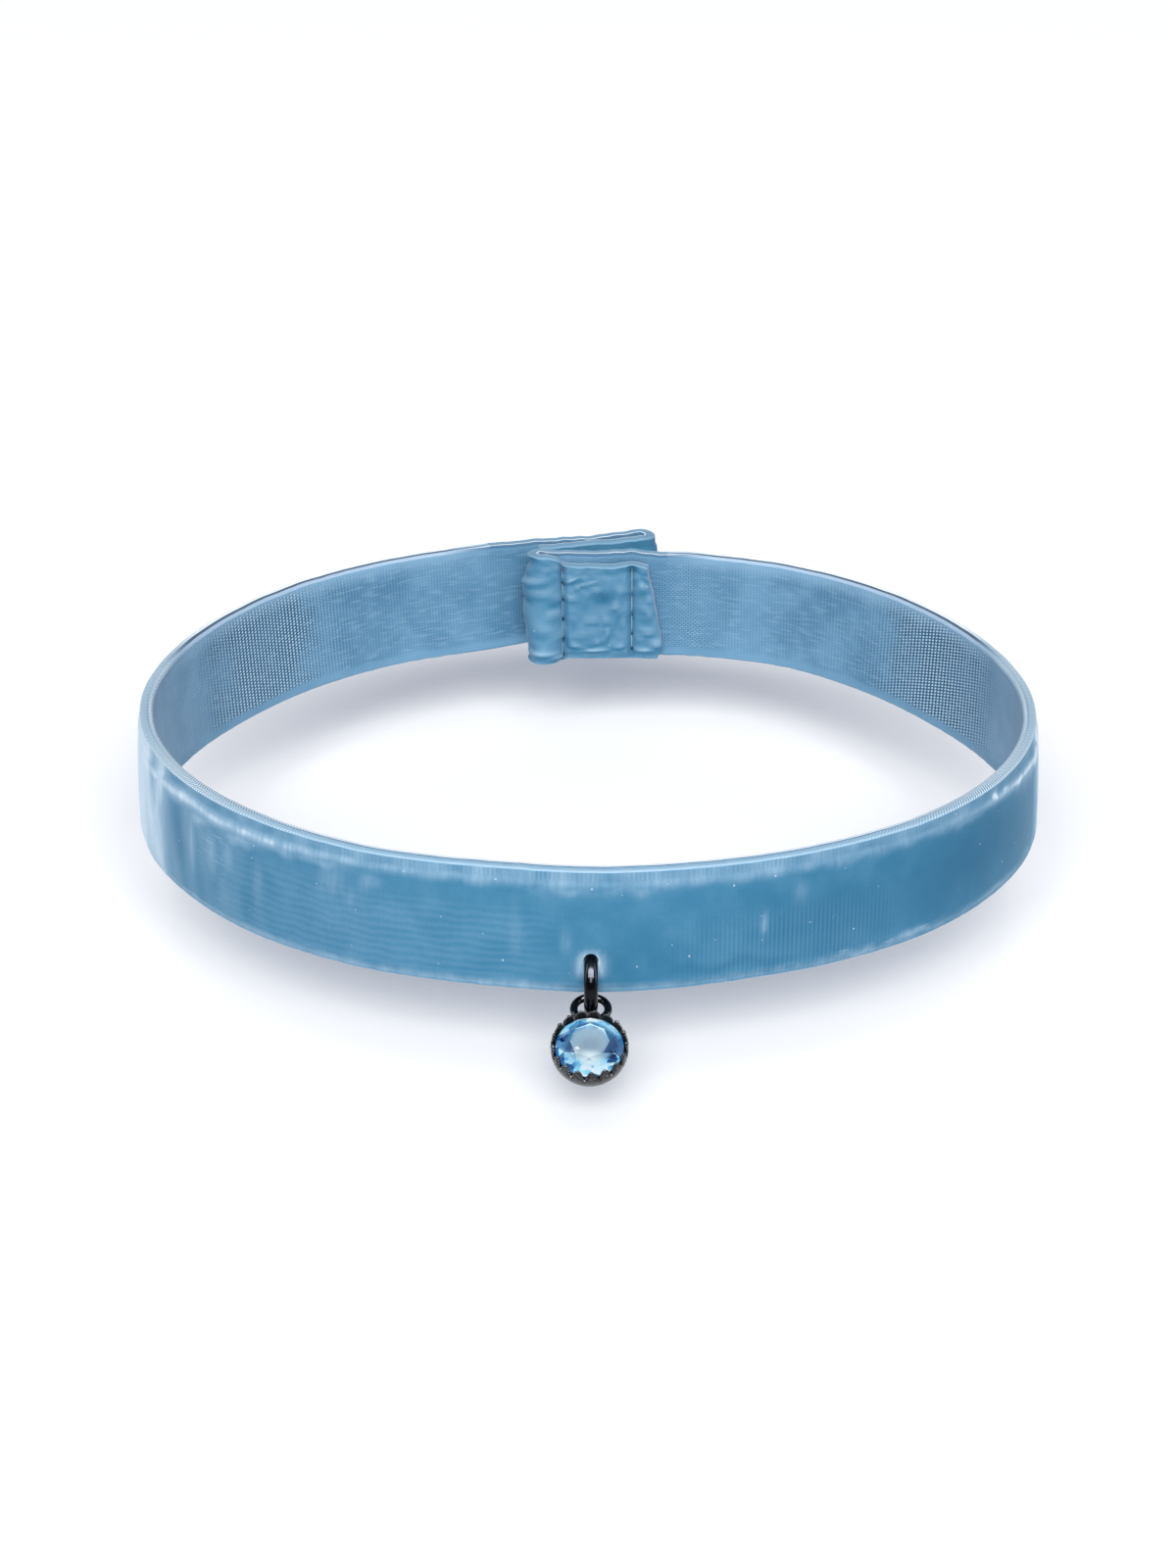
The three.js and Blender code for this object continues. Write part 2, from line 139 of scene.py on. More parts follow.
def place_camera():
    data = bpy.data.cameras.new("studio_camera")
    data.sensor_width = CAMERA_SENSOR
    data.lens = CAMERA_LENS
    data.shift_x = CAMERA_SHIFT
    data.clip_start, data.clip_end = CAMERA_REACH
    camera = bpy.data.objects.new("studio_camera", data)
    camera.location = Vector(CAMERA_PLACE) * MM
    camera.rotation_euler = (math.radians(90 - CAMERA_DROP), 0, 0)
    bpy.context.scene.collection.objects.link(camera)
    bpy.context.scene.camera = camera


def place_floor():
    bpy.ops.mesh.primitive_plane_add(size=FLOOR_SIZE, location=(0, 0, FLOOR_HEIGHT * MM))
    floor = bpy.context.object
    floor.name = "studio_floor"
    paper = new_material("pale_paper")
    Sheet(paper.node_tree).finish(Base_Color=PAPER_WHITE, Roughness=0.9, Specular_IOR_Level=0.1)
    floor.data.materials.append(paper)


def hang_light(data, azimuth, elevation):
    light = bpy.data.objects.new(data.name, data)
    turn, rise = math.radians(azimuth), math.radians(elevation)
    away = Vector((math.sin(turn) * math.cos(rise), -math.cos(turn) * math.cos(rise), math.sin(rise)))
    light.location = Vector(LIGHT_AIM) + away * LIGHT_DISTANCE
    light.rotation_euler = away.to_track_quat("Z", "Y").to_euler()
    bpy.context.scene.collection.objects.link(light)
    return light


def area_light(name, azimuth, elevation, size, power):
    data = bpy.data.lights.new(name, "AREA")
    data.shape = "RECTANGLE"
    data.size, data.size_y = size
    data.energy = power
    return hang_light(data, azimuth, elevation)


def key_light(name, azimuth, elevation):
    """One of the large far lights that share the key light's strength."""
    data = bpy.data.lights.new(name, "SUN")
    data.energy = KEY_STRENGTH / len(KEY_LIGHTS)
    data.color = KEY_COLOUR
    data.angle = math.radians(KEY_SPREAD)
    return hang_light(data, azimuth, elevation)


def light_studio():
    world = bpy.data.worlds.new("studio")
    bpy.context.scene.world = world
    world.use_nodes = True
    sky = world.node_tree.nodes["Background"]
    sky.inputs["Color"].default_value = (*SKY_COLOUR, 1)
    sky.inputs["Strength"].default_value = SKY_STRENGTH
    for row in KEY_LIGHTS:
        key_light(*row)
    area_light(*OVERHEAD)


def cards_for_metal(pieces):
    """Bright cards above and beside that show only as highlights in the metal."""
    lit = bpy.data.collections.new("metal_pieces")
    for piece in pieces:
        lit.objects.link(piece)
    for row in METAL_CARDS:
        area_light(*row).light_linking.receiver_collection = lit


# ---- Ribbon: its route ----

def layer_station(row):
    x, y, top, x_low, swing = row
    return (x, y, top), (x_low, y - swing, 0)


def ring_station(row):
    angle, upper, lower = row
    turn = math.radians(angle)
    return (
        (upper * math.sin(turn), -upper * math.cos(turn), BAND_HEIGHT),
        (lower * math.sin(turn), -lower * math.cos(turn), 0),
    )


def fold_corner(edge, turn, height):
    x, y, half_across, half_along = edge
    return x + half_across * math.cos(turn), y + half_along * math.sin(turn), height


def fold_stations(fold):
    start, top, upper, lower = fold
    turns = [math.radians(start + 180 * step / FOLD_STEPS) for step in range(FOLD_STEPS + 1)]
    return [(fold_corner(upper, turn, top), fold_corner(lower, turn, 0)) for turn in turns]


# Stretches of the ribbon's route, in order, from the folded-back end to the tab's end
STRETCHES = [
    ("folded_back", [layer_station(row) for row in FOLDED_BACK_ROWS]),
    ("back_fold", fold_stations(BACK_FOLD)),
    ("outer", [layer_station(row) for row in OUTER_ROWS]),
    ("ring", [ring_station(row) for row in RING_ROWS]),
    ("inner", [layer_station(row) for row in INNER_ROWS]),
    ("tab_fold", fold_stations(TAB_FOLD)),
    ("tab", [layer_station(row) for row in TAB_ROWS]),
]


def smooth_route(points, places):
    """Centripetal Catmull-Rom line through points, at places counted in spans."""
    points = np.asarray(points, float)
    padded = np.vstack([2 * points[0] - points[1], points, 2 * points[-1] - points[-2]])
    out = []
    for place in places:
        span = min(int(place), len(points) - 2)
        share = place - span
        p0, p1, p2, p3 = padded[span:span + 4]
        d0, d1, d2 = (math.sqrt(math.dist(a, b)) for a, b in ((p0, p1), (p1, p2), (p2, p3)))
        t1 = ((p1 - p0) / d0 - (p2 - p0) / (d0 + d1) + (p2 - p1) / d1) * d1
        t2 = ((p2 - p1) / d1 - (p3 - p1) / (d1 + d2) + (p3 - p2) / d2) * d1
        out.append(p1 + t1 * share + (3 * (p2 - p1) - 2 * t1 - t2) * share ** 2
                   + (2 * (p1 - p2) + t1 + t2) * share ** 3)
    return np.array(out)


def lay_route():
    """Upper and lower edge of the mid-line all along the ribbon, and the stretch that each sample is on."""
    stations = [station for _, rows in STRETCHES for station in rows]
    stretch_of = [i for i, (_, rows) in enumerate(STRETCHES) for _ in rows]
    places = []
    for span in range(len(stations) - 1):
        length = math.dist(stations[span][0], stations[span + 1][0])
        steps = math.ceil(length / (RING_STEP if length > LONG_SPAN else CLOSURE_STEP))
        places += [span + i / steps for i in range(steps)]
    places.append(len(stations) - 1)
    upper = smooth_route([s[0] for s in stations], places)
    lower = smooth_route([s[1] for s in stations], places)
    stretch = np.array([stretch_of[min(int(p), len(stretch_of) - 1)] for p in places])
    return upper, lower, stretch


# ---- Ribbon: its shape and the paint on it ----

def step_up(x, low, high):
    """Smooth step from 0 at low to 1 at high; high may be the smaller of the two."""
    t = np.clip((np.asarray(x, float) - low) / (high - low), 0, 1)
    return t * t * (3 - 2 * t)


def stripe(x, start, full, last_full, end):
    """1 from full to last_full, falling smoothly to 0 at start and at end."""
    return step_up(x, start, full) * step_up(x, end, last_full)


def hump(x, middle, half):
    """A rounded hill of height 1."""
    return np.exp(-((x - middle) / half) ** 2)


def cloud(x, y, size, seed):
    """Smooth noise, about -1 to 1, over two arrays of lengths in millimetres."""
    wide_x, wide_y = np.broadcast_arrays(np.asarray(x, float), np.asarray(y, float))
    values = [noise.noise(Vector((a / size, b / size, seed)))
              for a, b in zip(wide_x.ravel(), wide_y.ravel())]
    return np.array(values).reshape(wide_x.shape)


def clouds(layers, x, y=0):
    """Noise of several sizes added up; each layer is its strength, size and seed."""
    return sum(strength * cloud(x, y, size, seed) for strength, size, seed in layers)


def patches(table, along, rise):
    """The strongest of a table's patches at each place: middle, half sizes and strength of each."""
    total = np.zeros(np.broadcast(along, rise).shape)
    for middle, middle_rise, half, half_rise, strength in table:
        total = np.maximum(total, strength * hump(along, middle, half) * hump(rise, middle_rise, half_rise))
    return total


# The three faces of the cloth, which are also its material slots
PILE, EDGE, WOVEN = range(3)

# Distance of the selvedges' face from the mid-line, then the pile's depth at its margins, what its crown adds
# and the crown's middle and half height as shares of the band's height
SELVEDGE = 0.375
PILE_DEPTH = 0.125
PILE_CROWN = 0.075
PILE_MIDDLE = 0.48
PILE_HALF = 0.40
CRUSHED_LIFT = 0.05
DEEP_DIP = 0.03
# Shares of the height between which the pile rises from the lower selvedge and sinks to the upper one
PILE_STARTS = (0.034, 0.072)
PILE_ENDS = (0.918, 0.872)
PILE_RISES = [
    0.014, 0.030, 0.046, 0.060, 0.072, 0.081, 0.090, 0.099, 0.108, 0.120, 0.136, 0.155, 0.185, 0.22,
    0.26, 0.30, 0.34, 0.38, 0.42, 0.46, 0.50, 0.54, 0.58, 0.62, 0.66, 0.69, 0.72, 0.75, 0.78, 0.805,
    0.825, 0.842, 0.857, 0.870, 0.882, 0.893, 0.904, 0.915, 0.926, 0.940, 0.955, 0.970, 0.982,
]
# Upper edge from the pile side to the woven side, as (across, rise): two woven cords with a groove between
UPPER_EDGE = [
    (0.362, 0.9885), (0.320, 0.9960), (0.250, 0.9995), (0.170, 0.9985), (0.120, 0.9935), (0.070, 0.9945),
    (0.000, 0.9990), (-0.120, 1.0005), (-0.260, 0.9995), (-0.380, 0.9985), (-0.455, 0.9950),
    (-0.495, 0.9880),
]
WOVEN_RISES = [
    0.975, 0.950, 0.915, 0.87, 0.80, 0.70, 0.60, 0.50, 0.40, 0.30, 0.20, 0.13, 0.085, 0.05, 0.02,
]
LOWER_EDGE = [
    (-0.49, 0.008), (-0.42, 0.000), (-0.15, -0.001), (0.10, 0.000), (0.28, 0.001), (0.35, 0.006),
]


def ribbon_section():
    """Once round the section: across, rise and face of each point. The pile's thickness is added later."""
    rows = [(0.0, rise, PILE) for rise in PILE_RISES]
    rows += [(across, rise, EDGE) for across, rise in UPPER_EDGE]
    rows += [(-0.50, rise, WOVEN) for rise in WOVEN_RISES]
    rows += [(across, rise, EDGE) for across, rise in LOWER_EDGE]
    return rows


# Lighter, crushed patches of pile, their paleness partly painted sheen: distance along from the front
# (left is negative), rise, half sizes along and up, strength
CRUSHED = [
    (-38.8, 0.70, 1.6, 0.10, 0.90), (-34.8, 0.66, 1.2, 0.12, 0.85), (-33.2, 0.35, 0.5, 0.25, 0.55),
    (-29.3, 0.55, 0.45, 0.32, 0.58), (-28.4, 0.76, 1.3, 0.08, 0.70), (-27.0, 0.56, 0.75, 0.22, 0.48),
    (-25.2, 0.60, 0.6, 0.16, 0.40), (-24.2, 0.78, 1.6, 0.06, 0.60), (-22.4, 0.48, 0.5, 0.20, 0.22),
    (-20.5, 0.82, 1.2, 0.05, 0.50), (-17.6, 0.83, 2.0, 0.05, 0.45),
    (-16.6, 0.70, 1.1, 0.14, 0.26), (-15.4, 0.60, 0.22, 0.10, 0.30), (-14.0, 0.76, 0.7, 0.08, 0.34),
    (-16.0, 0.45, 7.0, 0.55, 0.070), (-4.8, 0.50, 0.35, 0.26, 0.12), (-1.8, 0.42, 0.30, 0.09, 0.20),
    (-1.8, 0.84, 1.6, 0.05, 0.34), (2.2, 0.85, 1.8, 0.05, 0.30), (9.5, 0.88, 2.2, 0.04, 0.30),
    (10.3, 0.47, 0.13, 0.07, 0.42), (12.6, 0.68, 0.40, 0.10, 0.22), (17.5, 0.87, 2.4, 0.04, 0.30),
    (25.5, 0.86, 2.5, 0.04, 0.34),
    (29.2, 0.875, 0.60, 0.042, 1.05), (30.6, 0.865, 1.1, 0.030, 0.90), (33.1, 0.850, 0.8, 0.040, 1.25),
    (35.2, 0.800, 1.6, 0.070, 0.60), (37.6, 0.820, 0.9, 0.070, 1.35), (39.4, 0.72, 0.8, 0.12, 0.90),
    (38.6, 0.50, 0.30, 0.34, 0.45), (30.0, 0.06, 3.6, 0.035, 0.45), (21.0, 0.06, 2.0, 0.035, 0.55),
    (17.0, 0.05, 1.8, 0.030, 0.50), (37.0, 0.08, 2.4, 0.05, 0.45),
]
# Deeper blue places, in the same terms
DEEP = [
    (-31.0, 0.50, 0.75, 0.26, 0.65), (-36.2, 0.24, 0.9, 0.20, 0.35), (4.0, 0.25, 3.0, 0.25, 0.35),
    (27.0, 0.48, 10.0, 0.36, 0.86), (14.5, 0.42, 6.0, 0.36, 0.66), (1.6, 0.22, 1.4, 0.20, 0.45),
    (9.0, 0.15, 8.0, 0.07, 0.62),
]

# The milky ridge under the upper selvedge, crushed pile with painted sheen, and the pale margins of the pile,
# the upper one painted sheen, by distance along
RIDGE_STRENGTH = [
    (-46, 1.15), (-38, 1.10), (-28, 0.95), (-20, 0.78), (-14, 0.50), (-4, 0.34), (6, 0.30), (18, 0.34),
    (27, 0.50), (30, 0.85), (37, 1.10), (46, 1.00),
]
RIDGE_HALF_HEIGHT = [
    (-46, 0.100), (-36, 0.085), (-24, 0.060), (-12, 0.036), (10, 0.030), (28, 0.034), (38, 0.060),
]
RIDGE_MIDDLE = [
    (-46, 0.79), (-40, 0.79), (-33, 0.845), (-29, 0.865), (-26, 0.845), (-20, 0.870), (-14, 0.900),
    (22, 0.900), (27, 0.880), (30, 0.872), (34, 0.850), (38, 0.820), (46, 0.80),
]
UPPER_MARGIN_STRENGTH = [(-46, 0.2), (-34, 0.35), (-24, 0.9), (-14, 1.0), (22, 1.0), (34, 0.5), (46, 0.3)]
LOWER_MARGIN_STRENGTH = [(-4, 0.36), (4, 0.18)]
# Height on the cloth at which the jump ring's top shows
RING_TOP = 2.42

# Angles round the wrist are in degrees from the front, on a circle of the ribbon's mean radius
MEAN_RADIUS = 28.9
# Distance from one warp rib to the next, by angle
WARP_PITCHES = [(95, 0.44), (115, 0.41), (127, 0.36), (139, 0.31), (148, 0.26), (165, 0.22), (180, 0.22)]
# Angles at which the warp begins to show and at which the weft's painted glints are brightest, on the left
# and on the right
WARP_BEGINS = (106.0, 97.0)
WEFT_BRIGHTEST = (127.0, 117.0)

# Creases and dents of the tab and its fold: x, height, half sizes, slope of the long axis, depth (outward
# is positive)
CREASES = [
    (-4.25, 6.10, 0.70, 0.16, 0.15, 0.16), (-3.55, 5.35, 0.55, 0.10, 0.05, 0.14),
    (-2.85, 5.05, 0.42, 0.11, -0.05, 0.18), (-2.95, 4.35, 0.40, 0.10, 0.05, -0.12),
    (-2.85, 3.55, 0.45, 0.12, 0.00, 0.14), (-4.40, 4.55, 0.30, 0.13, 0.00, -0.15),
    (-3.60, 2.60, 0.50, 0.30, 0.10, 0.08), (-2.75, 2.10, 0.35, 0.16, 0.10, 0.10),
    (-3.60, 0.75, 0.70, 0.22, 0.05, 0.12), (-2.70, 0.40, 0.40, 0.18, 0.00, 0.12),
    (-1.55, 6.75, 0.50, 0.10, 0.50, 0.10), (-0.95, 6.30, 0.55, 0.09, 0.45, 0.12),
    (-0.10, 6.55, 0.50, 0.08, 0.35, 0.08), (-1.60, 5.35, 0.45, 0.12, -0.15, 0.12),
    (-1.50, 4.25, 0.40, 0.10, 0.10, 0.08), (0.30, 6.05, 0.60, 0.10, -0.25, 0.07),
    (0.95, 5.05, 0.75, 0.55, 0.20, -0.16), (1.75, 4.55, 0.30, 0.20, 0.0, 0.16),
    (0.20, 3.45, 0.45, 0.14, 0.10, 0.15), (1.05, 3.45, 0.35, 0.16, -0.10, 0.12),
    (-0.60, 2.20, 0.60, 0.16, 0.10, 0.10), (0.60, 1.55, 0.50, 0.12, 0.35, 0.14),
    (1.20, 2.30, 0.14, 0.40, 0.00, 0.10), (-1.20, 1.15, 0.50, 0.15, -0.20, 0.12),
    (0.20, 0.75, 0.70, 0.12, 0.05, 0.12), (2.10, 1.10, 0.45, 0.22, 0.20, 0.10),
    (2.20, 5.90, 0.30, 0.50, 0.10, 0.06), (2.35, 3.10, 0.25, 0.50, 0.00, 0.07),
    (3.85, 6.20, 0.30, 0.30, 0.00, 0.10), (4.25, 5.20, 0.22, 0.14, 0.20, 0.16),
    (4.00, 4.35, 0.35, 0.16, 0.00, 0.08), (4.30, 3.85, 0.18, 0.18, 0.00, 0.16),
    (3.80, 3.10, 0.30, 0.24, 0.10, -0.06), (4.25, 2.40, 0.45, 0.14, 0.15, 0.12),
    (4.70, 1.35, 0.40, 0.35, 0.00, 0.15), (3.90, 0.75, 0.50, 0.18, 0.10, 0.10),
    (3.60, 1.70, 0.30, 0.20, 0.00, 0.06),
]
# How far the tab's free end stands out from a straight line, at each height
TAB_END = [
    (0.0, -0.22), (0.46, 0.04), (1.31, 0.31), (2.03, 0.21), (3.08, 0.20), (3.6, 0.10), (4.12, 0.15),
    (4.7, 0.06), (5.15, 0.16), (5.8, 0.02), (6.58, -0.08), (7.25, -0.13),
]
# How far the fold stands out at each height
FOLD_BULGE = [
    (0.0, -0.24), (0.75, -0.17), (2.2, -0.06), (3.9, 0.08), (5.45, 0.13), (6.2, 0.06), (7.0, -0.12),
    (7.6, -0.24), (8.1, -0.26),
]
# The tab's outer layer lies nearer the front than this, and its shade falls on the cloth behind this
TAB_FRONT = 26.75
TAB_SHADE_FROM = 20
# How much livelier the upper edge is at the closure
CLOSURE_LIFT = 2.2

SEAMS = [
    {"x": -2.15, "thread": 0.024, "holes": [7.35, 6.25, 4.93, 3.30, 1.65, 0.35]},
    {"x": 3.02, "thread": 0.036, "holes": [7.30, 5.17, 3.61, 2.04, 0.79]},
]
SEAM_HALF_WIDTH = 0.26
SEAM_DEPTH = 0.26
HOLE_DEPTH = 0.18
HOLE_HALF_WIDTH = 0.15
HOLE_HALF_HEIGHT = 0.30

# Noise, as layers of strength, size and seed
PILE_MARGIN_NOISE = [(0.010, 0.9, 3.1), (0.006, 0.3, 7.7)]
NAP_NOISE = [(0.010, 0.7, 1.3), (0.006, 0.25, 5.9)]
TAB_NOISE = [(0.035, 0.55, 12.0), (0.05, 1.3, 15.0)]
LIFT_NOISE = [(0.035, 2.2, 21.0), (0.015, 0.7, 23.0)]
DROOP_NOISE = [(0.030, 0.8, 31.0), (0.016, 0.3, 33.0)]
RAGGED_NOISE = [(0.030, 1.6, 41.0), (0.016, 0.35, 43.0)]
CRUSHED_NOISE = [(0.05, 1.1, 2.2)]
DEEP_NOISE = [(0.08, 2.0, 9.2)]
RIDGE_NOISE = [(0.014, 2.6, 51.0)]

# Limits of a smooth step are (none, full), and of a stripe (none, full, last full, none). These are shares
# of the band's height.
UPPER_WAVE = (0.80, 0.98)
LOWER_WAVE = (0.16, 0.02)
UPPER_MARGIN = (0.81, 0.91)
LOWER_MARGIN = (0.11, 0.04)
MARGIN_FADE = (0.895, 0.925)
RIBS_HEIGHT = (0.66, 0.42)
STREAKS_HEIGHT = (0.75, 0.6)
LEFT_STROKE_HEIGHT = (0.30, 0.46, 0.72, 0.80)
RIGHT_STROKE_HEIGHT = (0.14, 0.08)
HEM_HEIGHT = (0.6, 0.4)
# Limits by distance along from the front, of which those of a left side count towards the left
PLAIN_BACK = (64.0, 42.0)
# where the painted sheen at the two sides, and the haze before the left one, begin and end
LEFT_SIDE = (31.4, 34.2)
LEFT_END = (35.5, 40.0)
LEFT_HAZE = (20.0, 27.0)
RIGHT_SIDE = (36.2, 39.8, 41.5, 50.0)
RIBS_ALONG = (3.0, 9.0, 16.0, 22.0)
STREAKS_ALONG = (-30.0, -22.0, -5.0, -1.5)
LEFT_STROKE_ALONG = (-29.5, -28.0, -25.5, -24.0)
RIGHT_STROKE_ALONG = (13.0, 15.5, 22.0, 25.0)
BRUSHED_ALONG = (27.0, 17.0)
SELVEDGE_RIBS_ALONG = (22.0, 12.0)
# Limits in millimetres: beside the jump ring and in height there, from the tab's free end, and to the left
# over the tab's fold
HALO_BESIDE = (0.75, 0.0)
HALO_HEIGHT = (0.75, 1.6)
FREE_END = (1.3, 0.0)
FOLD_OUTSIDE = (3.7, 4.5)
# Patterns of the weave by angle: middle and half width of the twill's two places, then limits of the back
TWILL_SIDE = (62, 20)
TWILL_BEHIND = (100, 14)
WEFT_HALF = 13
WARP_FULL_AFTER = 11
BACK_ANGLES = (98, 112, 160, 170)
# Middle and half width, in x, of the loose floats and of the tab's shade on the cloth to each side of it
FLOATS_BESIDE_TAB = (7.4, 2.6)
SHADE_RIGHT = (6.0, 3.0)
SHADE_LEFT = (-6.5, 2.6)
# A darker blotch on the tab, in x and in height
BLOTCH_X = (0.95, 0.75)
BLOTCH_HEIGHT = (4.9, 0.65)


class Cloth:
    """The ribbon as a grid: a row for each sample of the route, a column for each point of the section."""

    def __init__(self):
        upper, lower, stretch = lay_route()
        middle = (upper + lower) / 2
        steps = np.linalg.norm(np.diff(middle, axis=0), axis=1)
        self.length = np.concatenate([[0], np.cumsum(steps)])[:, None]
        self.along = self.length - self.length[np.argmin(middle[:, 1])]
        across, rise, face = zip(*ribbon_section())
        self.outline = np.array(across)
        self.face = np.array(face)
        self.rise = np.array(rise)[None, :]
        self.height = self.rise * BAND_HEIGHT
        share = self.rise[..., None]
        self.centre = lower[:, None, :] * (1 - share) + upper[:, None, :] * share
        self.x, self.y = self.centre[..., 0], self.centre[..., 1]
        on = {name: (stretch == i)[:, None] for i, (name, _) in enumerate(STRETCHES)}
        self.on_tab, self.on_fold, self.on_ring = on["tab"], on["tab_fold"], on["ring"]
        self.on_front = (self.y < TAB_FRONT) & (self.on_tab | self.on_fold)

    def read(self, table):
        """A table of distances along and values, read at every row."""
        return np.interp(self.along, *zip(*table))

    def cloud(self, size, seed, upright=1.0):
        """Noise over the cloth, drawn out upwards where upright is less than 1."""
        return cloud(self.along, upright * self.height, size, seed)


def tab_relief(cloth):
    """Creases and dents of the tab and its fold."""
    relief = clouds(TAB_NOISE, cloth.x, cloth.height)
    for x, height, half, half_height, slope, depth in CREASES:
        u, v = cloth.x - x, cloth.height - height
        turned_u = u * math.cos(slope) + v * math.sin(slope)
        turned_v = v * math.cos(slope) - u * math.sin(slope)
        relief += depth * hump(turned_u, 0, half) * hump(turned_v, 0, half_height)
    return relief


def seam_marks(cloth):
    """The stitched grooves and the needle holes in them, each 0 to 1."""
    groove = np.zeros_like(cloth.x)
    hole = np.zeros_like(cloth.x)
    for seam in SEAMS:
        groove = np.maximum(groove, hump(cloth.x, seam["x"], SEAM_HALF_WIDTH))
        for height in seam["holes"]:
            dip = hump(cloth.x, seam["x"], HOLE_HALF_WIDTH) * hump(cloth.height, height, HOLE_HALF_HEIGHT)
            hole = np.maximum(hole, dip)
    return groove, hole


def pile_thickness(cloth, crushed, deep):
    """A soft low cushion between the selvedges, its upper and lower margins uneven."""
    margin = clouds(PILE_MARGIN_NOISE, cloth.along)
    cushion = step_up(cloth.rise + margin, *PILE_STARTS) * step_up(cloth.rise - margin, *PILE_ENDS)
    crown = PILE_DEPTH + PILE_CROWN * (1 - ((cloth.rise - PILE_MIDDLE) / PILE_HALF) ** 2)
    nap = clouds(NAP_NOISE, cloth.along, cloth.height)
    return SELVEDGE + cushion * (crown + nap + CRUSHED_LIFT * crushed - DEEP_DIP * deep)


def thickness(cloth, crushed, deep, relief, groove, hole):
    """How far each point stands off the mid-line, positive on the pile's side."""
    across = np.where(cloth.face == PILE, pile_thickness(cloth, crushed, deep), cloth.outline)
    puckers = 1.5 * relief - SEAM_DEPTH * groove - HOLE_DEPTH * hole
    bulge = np.interp(cloth.height, *zip(*FOLD_BULGE)) + 0.5 * relief
    across += (cloth.face == PILE) * cloth.on_front * puckers
    across += (cloth.face == PILE) * cloth.on_fold * step_up(-cloth.x, *FOLD_OUTSIDE) * bulge
    across += (cloth.face == WOVEN) * cloth.on_tab * 0.4 * relief
    return across


def shape_ribbon(cloth, across):
    """The ribbon's points: a slow wave along the upper edge, a finer uneven one along the lower edge, the
    upper one livelier at the closure, and an uneven free end to the tab."""
    heading = np.gradient(cloth.centre, axis=0)
    side = np.stack([heading[..., 1], -heading[..., 0], np.zeros_like(cloth.x)], axis=-1)
    side /= np.linalg.norm(side, axis=-1, keepdims=True)
    run = heading / np.linalg.norm(heading, axis=-1, keepdims=True)
    lift = clouds(LIFT_NOISE, cloth.along) * (1 + CLOSURE_LIFT * (1 - cloth.on_ring))
    droop = clouds(DROOP_NOISE, cloth.along)
    from_end = cloth.length[-1] - cloth.length
    reach = np.interp(cloth.height, *zip(*TAB_END)) * step_up(from_end, *FREE_END) * cloth.on_tab

    points = cloth.centre + side * across[..., None] + run * reach[..., None]
    points[..., 2] += lift * step_up(cloth.rise, *UPPER_WAVE) + droop * step_up(cloth.rise, *LOWER_WAVE)
    points[..., 2] -= BAND_HEIGHT / 2
    return points


def pale_margins(cloth):
    """The uneven pale margins of the pile, beside the upper and the lower selvedge; the upper one is a
    painted milky sheen.
    """
    ragged = clouds(RAGGED_NOISE, cloth.along)
    upper = step_up(cloth.rise + ragged, *UPPER_MARGIN) * (0.37 + 0.34 * cloth.cloud(1.3, 45.0))
    upper *= (1 - 0.15 * step_up(cloth.rise, *MARGIN_FADE)) * cloth.read(UPPER_MARGIN_STRENGTH)
    lower = step_up(cloth.rise + 0.6 * ragged, *LOWER_MARGIN)
    lower *= cloth.read(LOWER_MARGIN_STRENGTH) + 0.25 * cloth.cloud(0.8, 47.0)
    return upper, lower


def crushed_sheen_ridge(cloth):
    """The ridge of crushed pile under the upper selvedge, its milky paleness partly painted sheen where the
    pile's shoulder faces up.
    """
    middle = cloth.read(RIDGE_MIDDLE) + clouds(RIDGE_NOISE, cloth.along)
    ridge = hump(cloth.rise, middle, cloth.read(RIDGE_HALF_HEIGHT)) * cloth.read(RIDGE_STRENGTH)
    unevenness = np.interp(np.abs(cloth.along), (18, 28), (0.45, 0.16))
    return ridge * (0.90 + unevenness * cloth.cloud(1.0, 53.0))


def painted_side_sheen(cloth):
    """Painted sheen where the ribbon turns away at the sides: the left side with a painted haze before it,
    and the right side.
    """
    streaks = cloth.cloud(1.7, 61.0, upright=0.35)
    to_left = -cloth.along
    left = step_up(to_left, *LEFT_SIDE) * (0.80 + 0.26 * streaks) + 0.34 * step_up(to_left, *LEFT_END)
    haze = step_up(to_left, *LEFT_HAZE) * np.clip(0.18 + 0.34 * streaks, 0, 0.40)
    right = stripe(cloth.along, *RIGHT_SIDE) * (1.05 + 0.30 * cloth.cloud(0.9, 65.0, upright=0.3))
    return np.maximum.reduce([np.minimum(left, 1.0), haze, right])


def painted_ring_glow(cloth):
    """A painted pale glow on the pile beside the jump ring."""
    nearest = np.minimum(cloth.height, RING_TOP - JUMP_RING["wire"])
    beside = np.hypot(cloth.x, cloth.height - nearest) - JUMP_RING["wire"]
    return 0.86 * step_up(beside, *HALO_BESIDE) * step_up(cloth.height, *HALO_HEIGHT) * cloth.on_ring


def paint_pale_and_sheen(cloth, crushed, relief, slope):
    """Pale where the pile is crushed, with painted sheen at its margins, under the upper selvedge and at the
    sides, a painted glow beside the jump ring and painted highlights on the tab's crests and upward slopes;
    plain towards the back.
    """
    # the painted sheen fades out towards the back, and the upper pale margin partly does
    front_fade = step_up(np.abs(cloth.along), *PLAIN_BACK) * cloth.on_ring
    upper, lower = pale_margins(cloth)
    upper *= 0.35 + 0.65 * front_fade
    sides = np.maximum(crushed_sheen_ridge(cloth), painted_side_sheen(cloth)) * front_fade
    pale_and_sheen = np.maximum.reduce([upper, lower, crushed, sides, painted_ring_glow(cloth)])
    # painted highlights on the tab: lighter on its crests and where its creases slope up towards the light
    on_tab = np.clip(0.10 + 1.3 * relief - slope, 0.0, 0.95)
    return np.where(cloth.on_tab | cloth.on_fold, on_tab, pale_and_sheen)


